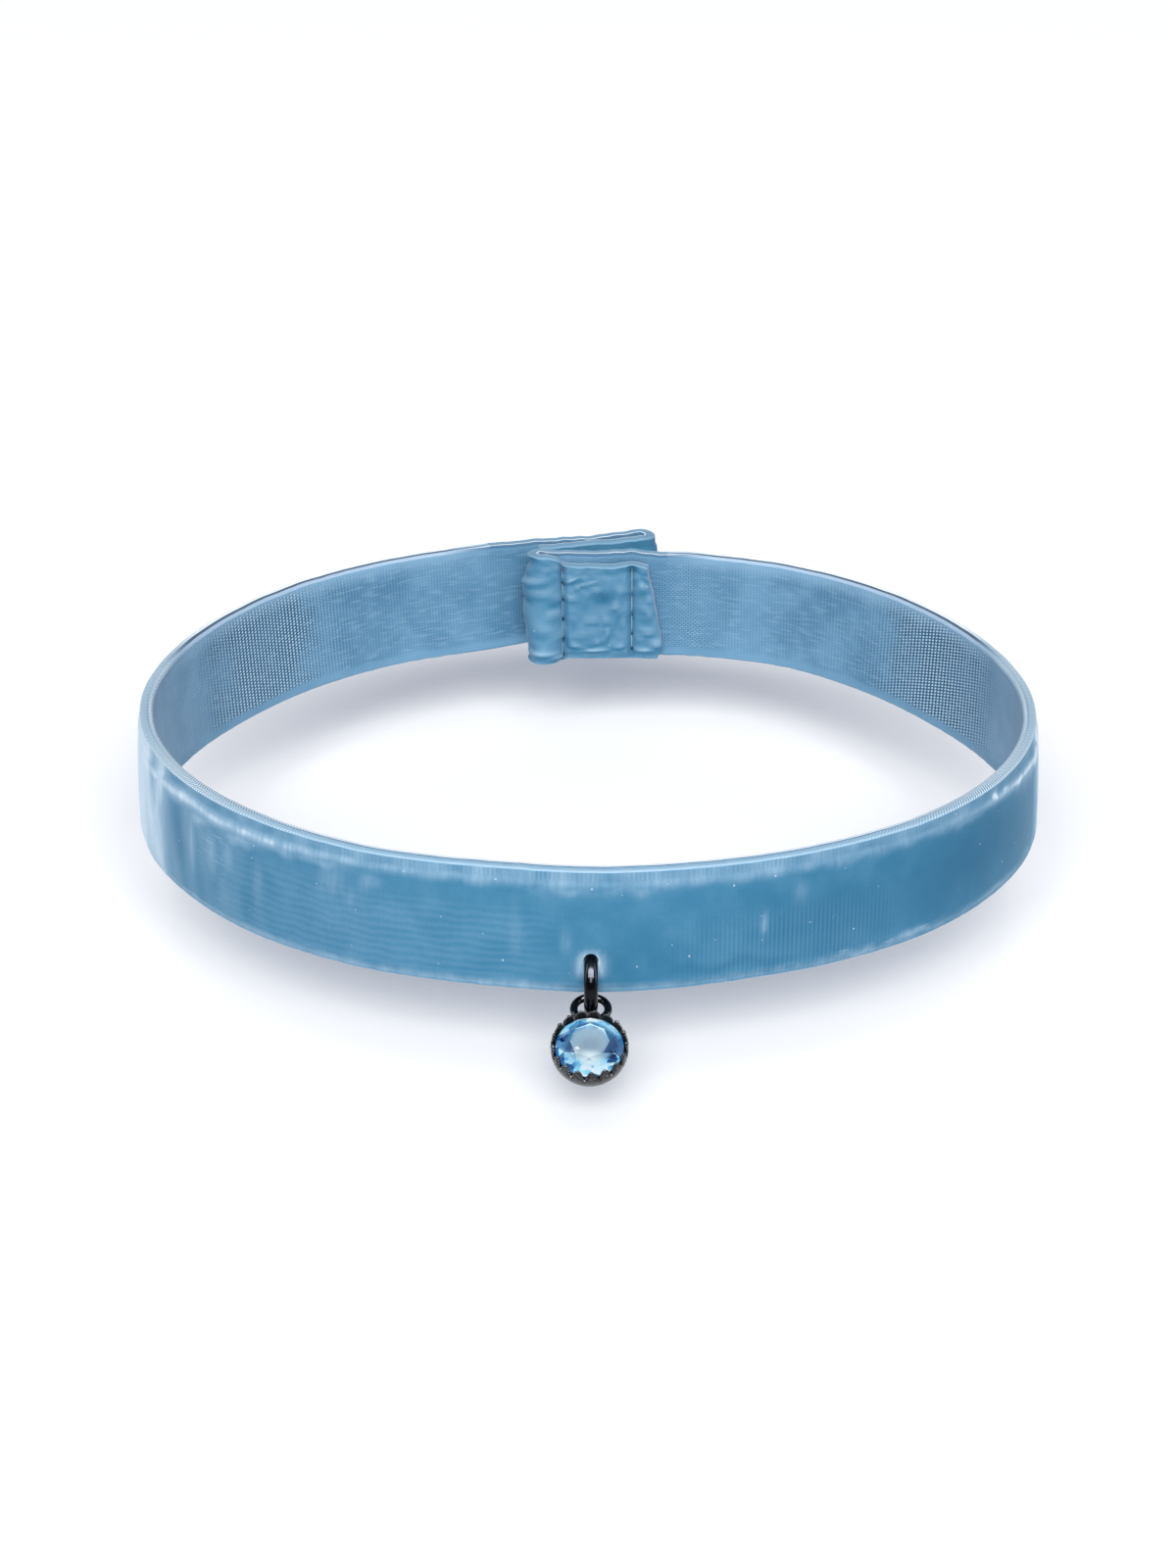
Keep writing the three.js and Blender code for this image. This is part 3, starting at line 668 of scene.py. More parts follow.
def paint_shade(cloth, deep, slope, groove):
    """Deep where the pile lies away; on the tab a darker blotch, with painted shade in its hollows, along its
    seam grooves and where its creases slope down; on the woven side, the tab's painted shadow.
    """
    blotch = hump(cloth.x, *BLOTCH_X) * hump(cloth.height, *BLOTCH_HEIGHT)
    # painted shade on the tab where its creases slope down and along the seam grooves, besides the blotch
    on_tab = 0.60 * blotch + 0.65 * np.clip(slope, 0, 1) + 0.35 * groove
    pile = np.clip(deep + cloth.on_front * on_tab, 0, 1)
    # the tab's painted shadow on the woven side to each side of it
    by_tab = np.where(cloth.along > 0, 0.9 * hump(cloth.x, *SHADE_RIGHT), 0.6 * hump(cloth.x, *SHADE_LEFT))
    return np.where(cloth.face == WOVEN, by_tab * (cloth.y > TAB_SHADE_FROM), pile)


def paint_pile_lines(cloth):
    """Where faint ribs, streaks, laid hairs, brushing and the upper selvedge's ribs show on the pile."""
    along, rise, on_ring = cloth.along, cloth.rise, cloth.on_ring
    left_stroke = stripe(along, *LEFT_STROKE_ALONG) * stripe(rise, *LEFT_STROKE_HEIGHT)
    right_stroke = stripe(along, *RIGHT_STROKE_ALONG) * step_up(rise, *RIGHT_STROKE_HEIGHT)
    lively = np.clip(0.55 + 1.2 * cloud(along, 0, 2.0, 71.0), 0, 1)
    return {
        "ribs": stripe(along, *RIBS_ALONG) * step_up(rise, *RIBS_HEIGHT) * on_ring,
        "streaks": stripe(along, *STREAKS_ALONG) * step_up(rise, *STREAKS_HEIGHT) * on_ring,
        "stroke": np.maximum(left_stroke, right_stroke) * on_ring,
        "brush": (0.25 + 0.75 * step_up(np.abs(along), *BRUSHED_ALONG)) * on_ring,
        "ribbed": step_up(np.abs(along), *SELVEDGE_RIBS_ALONG) * lively * on_ring,
    }


def paint_weave(cloth):
    """Where twill, warp ribs, the weft with its painted glints and shaded gaps, and loose floats show on the
    woven side and the edges.
    """
    turn = np.degrees(np.abs(cloth.along) / MEAN_RADIUS)
    on_left, on_ring = cloth.along < 0, cloth.on_ring
    pitch = np.where(on_ring, np.interp(turn, *zip(*WARP_PITCHES)), WARP_PITCHES[-1][1])
    turns = np.cumsum(np.diff(cloth.along, axis=0) / pitch[1:], axis=0)
    warp = step_up(turn - np.where(on_left, *WARP_BEGINS), 0, WARP_FULL_AFTER)
    return {
        "twill": np.clip(hump(turn, *TWILL_SIDE) + 0.8 * hump(turn, *TWILL_BEHIND), 0, 1),
        "warp": np.where(on_ring, warp, 1.0),
        "weft": hump(turn, np.where(on_left, *WEFT_BRIGHTEST), WEFT_HALF),
        "dashes": hump(cloth.x, *FLOATS_BESIDE_TAB) * (cloth.along > 0),
        "turns": np.concatenate([np.zeros((1, 1)), turns]),
        "back": stripe(turn, *BACK_ANGLES) * on_ring,
    }


def paint_cloth(cloth, crushed, deep, relief, groove, hole):
    """Every mask that the cloth's materials read, by its name."""
    # points of equal height are set a hair apart, so that the slope between them can be told
    apart = cloth.height + 1e-9 * np.arange(cloth.rise.size)
    slope = np.gradient(relief, axis=1) / np.gradient(apart, axis=1)
    return {
        "pale_and_sheen": paint_pale_and_sheen(cloth, crushed, relief, slope),
        "shade": paint_shade(cloth, deep, slope, groove),
        "selvedge": cloth.on_ring,
        "satin": cloth.on_tab | cloth.on_fold,
        # painted shade in the needle holes
        "pit": cloth.on_front * hole,
        "hem": step_up(cloth.rise, *HEM_HEIGHT),
        **paint_pile_lines(cloth),
        **paint_weave(cloth),
    }


def ribbon_faces(rows, section_faces):
    """The ribbon's faces, rows of quads and two ends, and the face of the cloth that each is on."""
    count = len(section_faces)
    faces, kinds = [], []
    for row in range(0, (rows - 1) * count, count):
        for point in range(count):
            following = (point + 1) % count
            faces.append((row + point, row + count + point, row + count + following, row + following))
            same = section_faces[point] == section_faces[following]
            kinds.append(section_faces[point] if same else EDGE)
    faces.append(tuple(range(count)))
    faces.append(tuple(reversed(range((rows - 1) * count, rows * count))))
    return faces, kinds + [EDGE, EDGE]


def map_cloth(mesh, kinds, along, up, across):
    """The cloth's own map in millimetres: along the ribbon, and up it, or across it on the two edges."""
    vertex = np.empty(len(mesh.loops), int)
    mesh.loops.foreach_get("vertex_index", vertex)
    sizes = np.empty(len(mesh.polygons), int)
    mesh.polygons.foreach_get("loop_total", sizes)
    on_edge = np.repeat(np.array(kinds), sizes) == EDGE
    second = np.where(on_edge, across[vertex], up[vertex])
    cloth_map = mesh.uv_layers.new(name="cloth")
    cloth_map.data.foreach_set("uv", np.stack([along[vertex], second], axis=1).astype(np.float32).ravel())


def build_ribbon():
    cloth = Cloth()
    crushed = patches(CRUSHED, cloth.along, cloth.rise + clouds(CRUSHED_NOISE, cloth.along, cloth.height))
    deep = patches(DEEP, cloth.along, cloth.rise + clouds(DEEP_NOISE, cloth.along, cloth.height))
    painted = (crushed * cloth.on_ring, deep * cloth.on_ring, tab_relief(cloth), *seam_marks(cloth))
    across = thickness(cloth, *painted)
    points = shape_ribbon(cloth, across)
    grid = across.shape

    faces, kinds = ribbon_faces(grid[0], cloth.face.tolist())
    mesh = bpy.data.meshes.new("velvet_ribbon")
    mesh.from_pydata((points.reshape(-1, 3) * MM).tolist(), [], faces)
    mesh.polygons.foreach_set("material_index", kinds)
    for name, values in paint_cloth(cloth, *painted).items():
        layer = mesh.attributes.new(name, "FLOAT", "POINT")
        values = np.broadcast_to(values, grid).astype(np.float32)
        layer.data.foreach_set("value", values.ravel())
    map_cloth(mesh, kinds, *(np.broadcast_to(values, grid).ravel()
                             for values in (cloth.along, cloth.height, across)))
    mesh.update()

    band = bpy.data.objects.new("velvet_ribbon", mesh)
    bpy.context.scene.collection.objects.link(band)
    work = bmesh.new()
    work.from_mesh(mesh)
    if work.calc_volume(signed=True) < 0:
        bmesh.ops.reverse_faces(work, faces=work.faces)
    bmesh.ops.triangulate(work, faces=[face for face in work.faces if len(face.verts) > 4])
    work.to_mesh(mesh)
    work.free()
    return band


def pierce_ribbon(band):
    """The small hole that the jump ring passes through; its new rim takes its paint from the cloth beside."""
    awl = wire_ring("awl", JUMP_RING["centre_line"], JUMP_RING["wire"] + HOLE_ROOM, sides=32, steps=72)
    set_in_place(awl, Matrix.Translation((0, front_of_band(), JUMP_RING["height"] - BAND_HEIGHT / 2)))
    mesh = band.data
    masks = [layer.name for layer in mesh.attributes if (layer.domain, layer.data_type) == ("POINT", "FLOAT")]
    before = {name: np.empty(len(mesh.vertices), np.float32) for name in masks}
    for name in masks:
        mesh.attributes[name].data.foreach_get("value", before[name])
    places = kdtree.KDTree(len(mesh.vertices))
    for point in mesh.vertices:
        places.insert(point.co, point.index)
    places.balance()
    cut = band.modifiers.new("hole", "BOOLEAN")
    cut.operation = "DIFFERENCE"
    cut.solver = "EXACT"
    cut.object = awl
    apply_modifier(band, cut)
    bpy.data.objects.remove(awl)
    nearest = np.array([places.find(point.co)[1] for point in mesh.vertices])
    for name in masks:
        mesh.attributes[name].data.foreach_set("value", before[name][nearest])


# ---- Materials ----

class Sheet:
    """A node tree that is filled in one line per node."""

    def __init__(self, tree):
        self.tree = tree

    def add(self, kind, inputs=None, **settings):
        node = self.tree.nodes.new(kind)
        for key, value in settings.items():
            setattr(node, key, value)
        for key, value in (inputs or {}).items():
            self.feed(node.inputs[key], value)
        return node

    def feed(self, socket, value):
        if isinstance(value, bpy.types.NodeSocket):
            self.tree.links.new(value, socket)
        elif isinstance(value, tuple) and len(value) == 3 and socket.type == "RGBA":
            socket.default_value = (*value, 1)
        else:
            socket.default_value = value

    def finish(self, **values):
        """Feeds the surface's own shader; an underscore in a name stands for a space."""
        shader = self.tree.nodes["Principled BSDF"]
        for key, value in values.items():
            self.feed(shader.inputs[key.replace("_", " ")], value)

    def maths(self, operation, first, second=0.0):
        return self.add("ShaderNodeMath", {0: first, 1: second}, operation=operation).outputs[0]

    def times(self, first, *others):
        for other in others:
            first = self.maths("MULTIPLY", first, other)
        return first

    def plus(self, first, *others):
        for other in others:
            first = self.maths("ADD", first, other)
        return first

    def less(self, first, second):
        return self.maths("SUBTRACT", first, second)

    def rest(self, value):
        """What value leaves of one."""
        return self.less(1.0, value)

    def between(self, value, low, high, to_low=0.0, to_high=1.0):
        """A smooth step from to_low, where value is low, to to_high, where it is high."""
        return self.add("ShaderNodeMapRange", {0: value, 1: low, 2: high, 3: to_low, 4: to_high},
                        interpolation_type="SMOOTHSTEP").outputs[0]

    def stripe(self, value, start, full, last_full, end):
        """1 from full to last_full, falling smoothly to 0 at start and at end."""
        return self.times(self.between(value, start, full), self.between(value, end, last_full))

    def spread(self, value, low, high):
        """A value from 0 to 1 spread evenly from low to high."""
        return self.add("ShaderNodeMapRange", {0: value, 3: low, 4: high}).outputs[0]

    def blend(self, share, first, second, mode="MIX"):
        node = self.add("ShaderNodeMix", data_type="RGBA", blend_type=mode)
        # the sockets for colours come after those for numbers and vectors
        for place, value in ((0, share), (6, first), (7, second)):
            self.feed(node.inputs[place], value)
        return node.outputs[2]

    def coats(self, colour, *coats):
        """Lays coats over a colour, one after the other; each is where it lies, its strength and its tint."""
        for place, strength, tint in coats:
            colour = self.blend(self.times(place, strength), colour, tint)
        return colour

    def ramp(self, reflection_tone, stops):
        """A colour by its tone; stops holds tones and tints."""
        node = self.add("ShaderNodeValToRGB", {0: reflection_tone})
        elements = node.color_ramp.elements
        while len(elements) < len(stops):
            elements.new(0.5)
        for element, (place, tint) in zip(elements, stops):
            element.position = place
            element.color = (*tint, 1)
        return node.outputs[0]

    def mask(self, name):
        return self.add("ShaderNodeAttribute", attribute_name=name).outputs["Fac"]

    def own_place(self):
        return self.add("ShaderNodeTexCoord").outputs["Object"]

    def own_map(self, name):
        return self.add("ShaderNodeUVMap", uv_map=name).outputs[0]

    def split(self, vector):
        return self.add("ShaderNodeSeparateXYZ", {0: vector}).outputs

    def noise(self, vector, detail, scale=1.0, roughness=0.5):
        return self.add("ShaderNodeTexNoise", {"Vector": vector, "Scale": scale, "Detail": detail,
                                               "Roughness": roughness}).outputs[0]

    def cells(self, vector, scale):
        """Scattered cells: the distance from each one's middle, and its own random value."""
        node = self.add("ShaderNodeTexVoronoi", {"Vector": vector, "Scale": scale}, voronoi_dimensions="2D")
        return node.outputs["Distance"], self.split(node.outputs["Color"])[0]

    def group(self, tree, inputs):
        return self.add("ShaderNodeGroup", inputs, node_tree=tree).outputs

    def ridges(self, length, pitch, wander=0.0):
        return self.group(RIDGES, {"Length": length, "Pitch": pitch, "Wander": wander})[0]

    def marks(self, smudge_size, grain_size):
        """Handling marks, their sizes in millimetres."""
        sizes = {"Smudge Size": smudge_size * MM, "Grain Size": grain_size * MM}
        return self.group(METAL_MARKS, {"Place": self.own_place(), **sizes})

    def bump(self, height, strength, depth):
        """A normal that follows height, with its depth in millimetres."""
        inputs = {"Height": height, "Strength": strength, "Distance": depth * MM}
        return self.add("ShaderNodeBump", inputs).outputs[0]


class ClothSheet(Sheet):
    """A sheet on the ribbon's own map: along it, and up it or, on the two edges, across it."""

    def __init__(self, material, cloud_size, fibre_size):
        super().__init__(material.node_tree)
        self.map = self.own_map("cloth")
        self.along, self.up = self.split(self.map)[:2]
        sizes = {"Cloud Size": cloud_size, "Fibre Size": fibre_size}
        self.clouds, self.fibres = self.group(FIBRES, {"Map": self.map, **sizes})

    def drawn_out(self, along, up, detail):
        """Noise with its own scale along and up the cloth."""
        scaled = self.add("ShaderNodeMapping", {"Vector": self.map, "Scale": (along, up, 1.0)})
        return self.noise(scaled.outputs[0], detail)


def new_material(name):
    material = bpy.data.materials.new(name)
    material.use_nodes = True
    return material


FLOAT, VECTOR = "NodeSocketFloat", "NodeSocketVector"


def new_group(name, inputs, outputs):
    """A shader node group with plain named sockets; returns the group and its sheet, ins and outs."""
    tree = bpy.data.node_groups.new(name, "ShaderNodeTree")
    for label, kind, value in inputs:
        socket = tree.interface.new_socket(name=label, in_out="INPUT", socket_type=kind)
        if value is not None:
            socket.default_value = value
    for label in outputs:
        tree.interface.new_socket(name=label, in_out="OUTPUT", socket_type=FLOAT)
    sheet = Sheet(tree)
    return tree, sheet, sheet.add("NodeGroupInput").outputs, sheet.add("NodeGroupOutput").inputs


def marks_group(name, place, *layers):
    """Noise over a place. Each layer is a size's name and value, then its output, detail and roughness."""
    sizes = [(label, FLOAT, size) for label, size, _, _, _ in layers]
    tree, s, ins, outs = new_group(name, [(place, VECTOR, None), *sizes], [layer[2] for layer in layers])
    for label, _, output, detail, roughness in layers:
        scaled = s.add("ShaderNodeVectorMath", {0: ins[place], 1: ins[label]}, operation="DIVIDE")
        s.feed(outs[output], s.noise(scaled.outputs[0], detail, roughness=roughness))
    return tree


def ridge_group():
    """Even ridges, 0 to 1, over a length, with a little wander."""
    inputs = [("Length", FLOAT, 0.0), ("Pitch", FLOAT, 0.3), ("Wander", FLOAT, 0.0)]
    tree, s, ins, outs = new_group("Ridges", inputs, ["Ridge"])
    turns = s.plus(s.maths("DIVIDE", ins["Length"], ins["Pitch"]), ins["Wander"])
    wave = s.maths("SINE", s.times(turns, 2 * math.pi))
    s.feed(outs["Ridge"], s.between(wave, -1.0, 1.0))
    return tree


# Soft clouds and fine fibres over a map. Their sizes are in the map's unit, and as they stand millimetres.
FIBRES = marks_group("Cloth fibres", "Map", ("Cloud Size", 2.0, "Clouds", 3.0, 0.55),
                     ("Fibre Size", 0.1, "Fibres", 2.0, 0.6))
# Handling marks on plated metal and glass, over object coordinates in metres
METAL_MARKS = marks_group("Metal handling", "Place", ("Smudge Size", 0.0012, "Smudges", 3.0, 0.5),
                          ("Grain Size", 0.00008, "Grain", 2.0, 0.5))
RIDGES = ridge_group()

BLACK = (0.0, 0.0, 0.0)
WHITE = (1.0, 1.0, 1.0)
HOLE_SHADE_BLUE = (0.003, 0.014, 0.045)
DEEP_BLUE = (0.007, 0.088, 0.180)
VELVET_BLUE = (0.026, 0.136, 0.242)
SOFT_BLUE = (0.058, 0.180, 0.292)
MILKY_BLUE = (0.280, 0.410, 0.530)
PALEST_PILE_AND_SHEEN = (0.640, 0.730, 0.800)
THREAD_WHITE = (0.820, 0.880, 0.930)


# Spacing of the pile's faint lines in millimetres, and the heights at which the two selvedges begin
RIB_PITCH = 0.29
STREAK_PITCH = 0.50
CROSS_RIB_PITCH = 0.27
LOW_LINE_PITCH = 0.21
UPPER_SELVEDGE = (7.20, 7.40)
LOWER_SELVEDGE = (0.60, 0.30)


def lint_dots(s):
    """A few tiny specks of lint, each of its own size."""
    distance, own_value = s.cells(s.map, 0.36)
    return s.between(s.less(distance, s.times(own_value, 0.024)), 0.006, -0.012)


def pile_material():
    """Cut pile: clouded blue, milky where it is crushed, with painted sheen at its margins and sides, a
    painted glow by the jump ring, painted highlights and shade on the tab and painted shade in the needle
    holes, with faint ribs and lint.
    """
    material = new_material("velvet_pile")
    s = ClothSheet(material, cloud_size=2.4, fibre_size=0.16)
    ribs = s.times(s.ridges(s.along, RIB_PITCH), s.mask("ribs"), 0.085)
    wander = s.noise(s.map, 1.0, scale=0.5)
    streaks = s.times(s.ridges(s.up, STREAK_PITCH, wander), s.mask("streaks"), 0.06)
    lines = s.plus(ribs, streaks)
    brushed = s.between(s.drawn_out(3.2, 0.55, 3.0), 0.25, 0.70, 0.70, 1.15)
    pale_and_sheen = s.times(s.mask("pale_and_sheen"), s.spread(s.mask("brush"), 1.0, brushed))
    # short pale hairs lying along the cloth where it is worn
    hairs = s.times(s.between(s.drawn_out(0.75, 8.0, 1.0), 0.62, 0.72), s.mask("stroke"))
    # selvedges: fine cross ribs on the upper one, fine lines along the lower one
    upper = s.times(s.between(s.up, *UPPER_SELVEDGE), s.mask("ribbed"), 0.7)
    lower = s.times(s.between(s.up, *LOWER_SELVEDGE), s.mask("selvedge"), 0.4)
    cross_ribs = s.times(s.ridges(s.along, CROSS_RIB_PITCH), upper)
    low_lines = s.times(s.ridges(s.up, LOW_LINE_PITCH), lower)
    selvedge = s.plus(cross_ribs, low_lines)

    colour = s.coats(
        s.blend(s.between(s.clouds, 0.30, 0.75, 0.1, 0.8), VELVET_BLUE, SOFT_BLUE),
        # deep blue places, and the painted shade on the tab
        (s.mask("shade"), 0.85, DEEP_BLUE),
        (lines, 1.0, MILKY_BLUE),
        # crushed pile, painted sheen, the painted glow by the jump ring and the tab's painted highlights
        (pale_and_sheen, 1.0, MILKY_BLUE),
        (s.between(pale_and_sheen, 0.62, 1.15), 0.80, PALEST_PILE_AND_SHEEN),
        (hairs, 0.45, MILKY_BLUE),
        (selvedge, 0.30, MILKY_BLUE),
        (lint_dots(s), 0.36, THREAD_WHITE),
        # painted shade in the needle holes
        (s.between(s.mask("pit"), 0.42, 0.85), 1.0, HOLE_SHADE_BLUE))
    colour = s.blend(0.10, colour, s.blend(s.fibres, (0.02, 0.05, 0.10), (0.9, 0.95, 1.0)), "OVERLAY")
    relief = s.plus(s.times(s.fibres, 0.35), s.times(lines, 0.9), s.times(selvedge, 0.5))
    rough = s.less(s.between(s.clouds, 0.2, 0.8, 0.78, 0.95), s.times(s.mask("satin"), 0.30))
    s.finish(Base_Color=colour, Roughness=rough, Normal=s.bump(relief, 0.5, 0.04), Specular_IOR_Level=0.20,
             Sheen_Weight=0.22, Sheen_Roughness=0.38, Sheen_Tint=(0.62, 0.85, 1.0))
    return material


# Rows of weft, the short loose floats' courses and lengths, and the lines along the two margins
WEFT_PITCH = 0.225
FLOAT_PITCH = 0.15
FLOAT_LENGTH = 0.36
MARGIN_LINE_PITCH = 0.2
# Heights between which the woven side's own pattern shows, and outside which its margins do
WOVEN_BODY = (0.4, 0.9, 7.45, 7.82)
UPPER_WOVEN_MARGIN = (7.30, 7.50)
LOWER_WOVEN_MARGIN = (0.85, 0.45)
# heights over which the upper margin at the back is painted lighter, as light falling on it
PAINTED_LIGHT_TOP = (6.60, 7.50)


def brick_floats(s):
    """Short floats of thread in brick order, with dark between them."""
    courses = s.maths("DIVIDE", s.up, FLOAT_PITCH)
    shift = s.times(s.maths("FLOOR", courses), 0.5)
    floats = s.plus(s.maths("DIVIDE", s.along, FLOAT_LENGTH), shift, s.times(s.fibres, 0.5))
    lengthwise = s.stripe(s.maths("FRACT", floats), 0.0, 0.25, 0.72, 1.0)
    return s.times(lengthwise, s.stripe(s.maths("FRACT", courses), 0.0, 0.4, 0.6, 1.0))


def woven_material():
    """The woven back: fine ribs crossed by rows of weft, with painted glints where they cross, painted shade
    in the gaps between them, the tab's painted shadow and a painted lighter upper margin at the back.
    """
    material = new_material("woven_back")
    s = ClothSheet(material, cloud_size=3.6, fibre_size=0.12)
    turns = s.mask("turns")
    warp = s.ridges(turns, 1.0)
    offset = s.plus(s.times(s.maths("FLOOR", turns), 0.5), s.times(s.maths("FRACT", turns), 0.45))
    weft = s.ridges(s.up, WEFT_PITCH, offset)
    rows = s.ridges(s.up, WEFT_PITCH, s.times(s.along, 0.05))
    body = s.stripe(s.up, *WOVEN_BODY)
    patchy = s.times(s.between(s.clouds, 0.34, 0.62, 0.62, 1.0), body)
    warp_share = s.times(s.mask("warp"), patchy)
    both = s.times(s.mask("warp"), s.between(s.times(s.mask("weft"), patchy), 0.05, 0.85))
    dashes = s.times(s.mask("dashes"), patchy)
    only_rows = s.times(s.rest(s.mask("warp")), body, rows)
    low_warp = s.rest(warp)
    crossings = s.times(warp, weft)
    gaps = s.maths("MAXIMUM", low_warp, s.rest(weft))
    flecks = s.between(s.drawn_out(0.7, 5.0, 2.0), 0.50, 0.66)
    floats = brick_floats(s)
    lower_margin = s.times(s.between(s.up, *LOWER_WOVEN_MARGIN), 0.7)
    margins = s.maths("MAXIMUM", s.between(s.up, *UPPER_WOVEN_MARGIN), lower_margin)

    colour = s.coats(
        s.blend(s.between(s.clouds, 0.3, 0.7), (0.118, 0.255, 0.392), (0.074, 0.190, 0.312)),
        (s.times(low_warp, warp_share), s.plus(s.times(s.mask("weft"), 0.25), 0.32), (0.020, 0.085, 0.175)),
        (s.times(s.rest(rows), warp_share), 0.16, (0.020, 0.100, 0.200)),
        # painted shade in the gaps between the threads, and painted glints where they cross
        (s.times(gaps, both), 0.92, (0.003, 0.056, 0.140)),
        (s.times(crossings, both), 0.86, (0.560, 0.800, 0.920)),
        # the tab's painted shadow
        (s.mask("shade"), 0.55, (0.036, 0.140, 0.255)),
        (s.times(flecks, warp_share), 0.16, (0.360, 0.520, 0.650)),
        (s.times(s.rest(floats), dashes), 0.50, (0.030, 0.125, 0.235)),
        (s.times(floats, dashes), 0.36, (0.300, 0.480, 0.620)),
        (only_rows, 0.42, (0.280, 0.450, 0.600)),
        (s.rest(body), 0.55, (0.100, 0.235, 0.370)),
        # painted light on the upper margin at the back
        (s.times(s.between(s.up, *PAINTED_LIGHT_TOP), s.mask("back")), 0.30, (0.280, 0.450, 0.610)),
        (s.times(s.ridges(s.up, MARGIN_LINE_PITCH), margins), 0.14, MILKY_BLUE))
    relief = s.plus(s.times(crossings, both), s.times(warp, warp_share, 0.5), s.times(only_rows, 0.4))
    s.finish(Base_Color=colour, Roughness=s.between(crossings, 0.0, 1.0, 0.62, 0.40),
             Normal=s.bump(relief, 0.8, 0.05), Specular_IOR_Level=0.30,
             Sheen_Weight=0.10, Sheen_Roughness=0.4, Sheen_Tint=(0.75, 0.88, 1.0))
    return material


# Lines along the edges by their place across them, positive on the pile's side: round the front, then at
# the back
WHITE_CORD = (-0.42, -0.36, -0.26, -0.18)
DARK_LINE = (-0.20, -0.16, -0.12, -0.06)
# a painted shadow line along the rounded corner on the woven side, round the front
RIM_SHADOW_LINE = (-0.41, -0.46)
WHITE_HIDDEN_AT_CLOSURE = (-0.34, -0.26)
BACK_HAIRLINE = (0.25, 0.31)
BACK_WHITE_LINE = (0.00, 0.06, 0.25, 0.31)
# a dark line at the back painted as the shade of a deep groove
BACK_GROOVE_SHADE = (-0.34, -0.29, 0.00, 0.05)
BACK_INNER_LINE = (-0.29, -0.34)
CHEVRON_PITCH = 0.25


def edge_material():
    """The ribbon's two edges. Round the front: a white cord on the woven side, a dark line and a blue cord,
    with slanting threads where the twill shows, and a painted shadow line along the woven side's corner. At
    the
    back, from the pile side: a grey hairline, a white line, the painted shade of a deep groove and a pale
    inner line."""
    material = new_material("woven_edge")
    s = ClothSheet(material, cloud_size=1.6, fibre_size=0.10)
    over = s.plus(s.up, s.times(s.less(s.clouds, 0.5), 0.12))
    at_back, on_ring = s.mask("back"), s.mask("selvedge")
    at_front, closure = s.rest(at_back), s.rest(on_ring)
    front_white = s.times(s.stripe(over, *WHITE_CORD), at_front)
    back_white = s.times(s.stripe(over, *BACK_WHITE_LINE), at_back)
    beside_closure = s.rest(s.times(closure, s.between(over, *WHITE_HIDDEN_AT_CLOSURE)))
    beside_twill = s.between(s.mask("twill"), 0.1, 0.8, 1.0, 0.15)
    white = s.times(s.plus(front_white, back_white), beside_twill, beside_closure)
    dark_line = s.times(s.stripe(over, *DARK_LINE), s.less(on_ring, at_back))
    slant = s.times(s.maths("ABSOLUTE", s.plus(over, 0.06)), 3.8)
    chevron = s.maths("POWER", s.ridges(s.along, CHEVRON_PITCH, slant), 0.7)
    twill = s.times(s.mask("twill"), 0.90, at_front)

    colour = s.coats(
        s.blend(s.between(over, -0.05, 0.20, 0.0, 0.8), (0.150, 0.295, 0.430), (0.260, 0.415, 0.550)),
        (s.between(s.drawn_out(1.0, 14.0, 2.0), 0.38, 0.62), 0.45, (0.300, 0.460, 0.590)),
        (closure, 0.75, (0.105, 0.240, 0.365)),
        (white, 1.0, (0.760, 0.830, 0.880)),
        (s.times(s.between(over, *BACK_HAIRLINE), at_back), 0.95, (0.170, 0.185, 0.230)),
        (s.times(s.stripe(over, *BACK_GROOVE_SHADE), at_back), 0.92, (0.018, 0.058, 0.110)),
        (s.times(s.between(over, *BACK_INNER_LINE), at_back), 0.65, (0.400, 0.510, 0.650)),
        (dark_line, 0.85, (0.035, 0.120, 0.230)),
        (s.times(s.between(over, *RIM_SHADOW_LINE), at_front), 0.90, (0.032, 0.105, 0.205)),
        (twill, 1.0, s.blend(chevron, (0.050, 0.180, 0.310), (0.640, 0.750, 0.820))),
        (s.mask("hem"), 0.85, (0.075, 0.205, 0.330)))
    relief = s.plus(s.times(chevron, twill), s.times(white, 0.6), s.times(s.fibres, 0.4))
    s.finish(Base_Color=colour, Roughness=s.between(chevron, 0, 1, 0.75, 0.55),
             Normal=s.bump(relief, 0.7, 0.05),
             Sheen_Weight=0.2, Sheen_Roughness=0.4, Sheen_Tint=(0.9, 0.95, 1.0))
    return material


# Dark plated metals: colour at its darkest and lightest, roughness at its smoothest and roughest, then the
# grain's size and height and the smudges' size in millimetres
METALS = {
    "gunmetal_polished": ((0.009, 0.010, 0.012), (0.020, 0.022, 0.026), 0.10, 0.20, 0.09, 0.003, 1.2),
    "gunmetal_cast": ((0.018, 0.019, 0.021), (0.095, 0.097, 0.100), 0.24, 0.42, 0.07, 0.020, 0.17),
    "gunmetal_blackened": ((0.004, 0.004, 0.005), (0.010, 0.011, 0.012), 0.55, 0.75, 0.09, 0.010, 1.2),
    "gunmetal_grains": ((0.014, 0.015, 0.017), (0.036, 0.037, 0.040), 0.08, 0.18, 0.09, 0.003, 1.2),
}


def gunmetal(name):
    dark, light, smoothest, roughest, grain_size, grain_height, smudge_size = METALS[name]
    material = new_material(name)
    s = Sheet(material.node_tree)
    marks = s.marks(smudge_size, grain_size)
    smudges = s.between(marks["Smudges"], 0.35, 0.70)
    s.finish(Base_Color=s.blend(smudges, dark, light), Roughness=s.spread(smudges, smoothest, roughest),
             Normal=s.bump(marks["Grain"], 0.6, grain_height), Metallic=1.0)
    return material


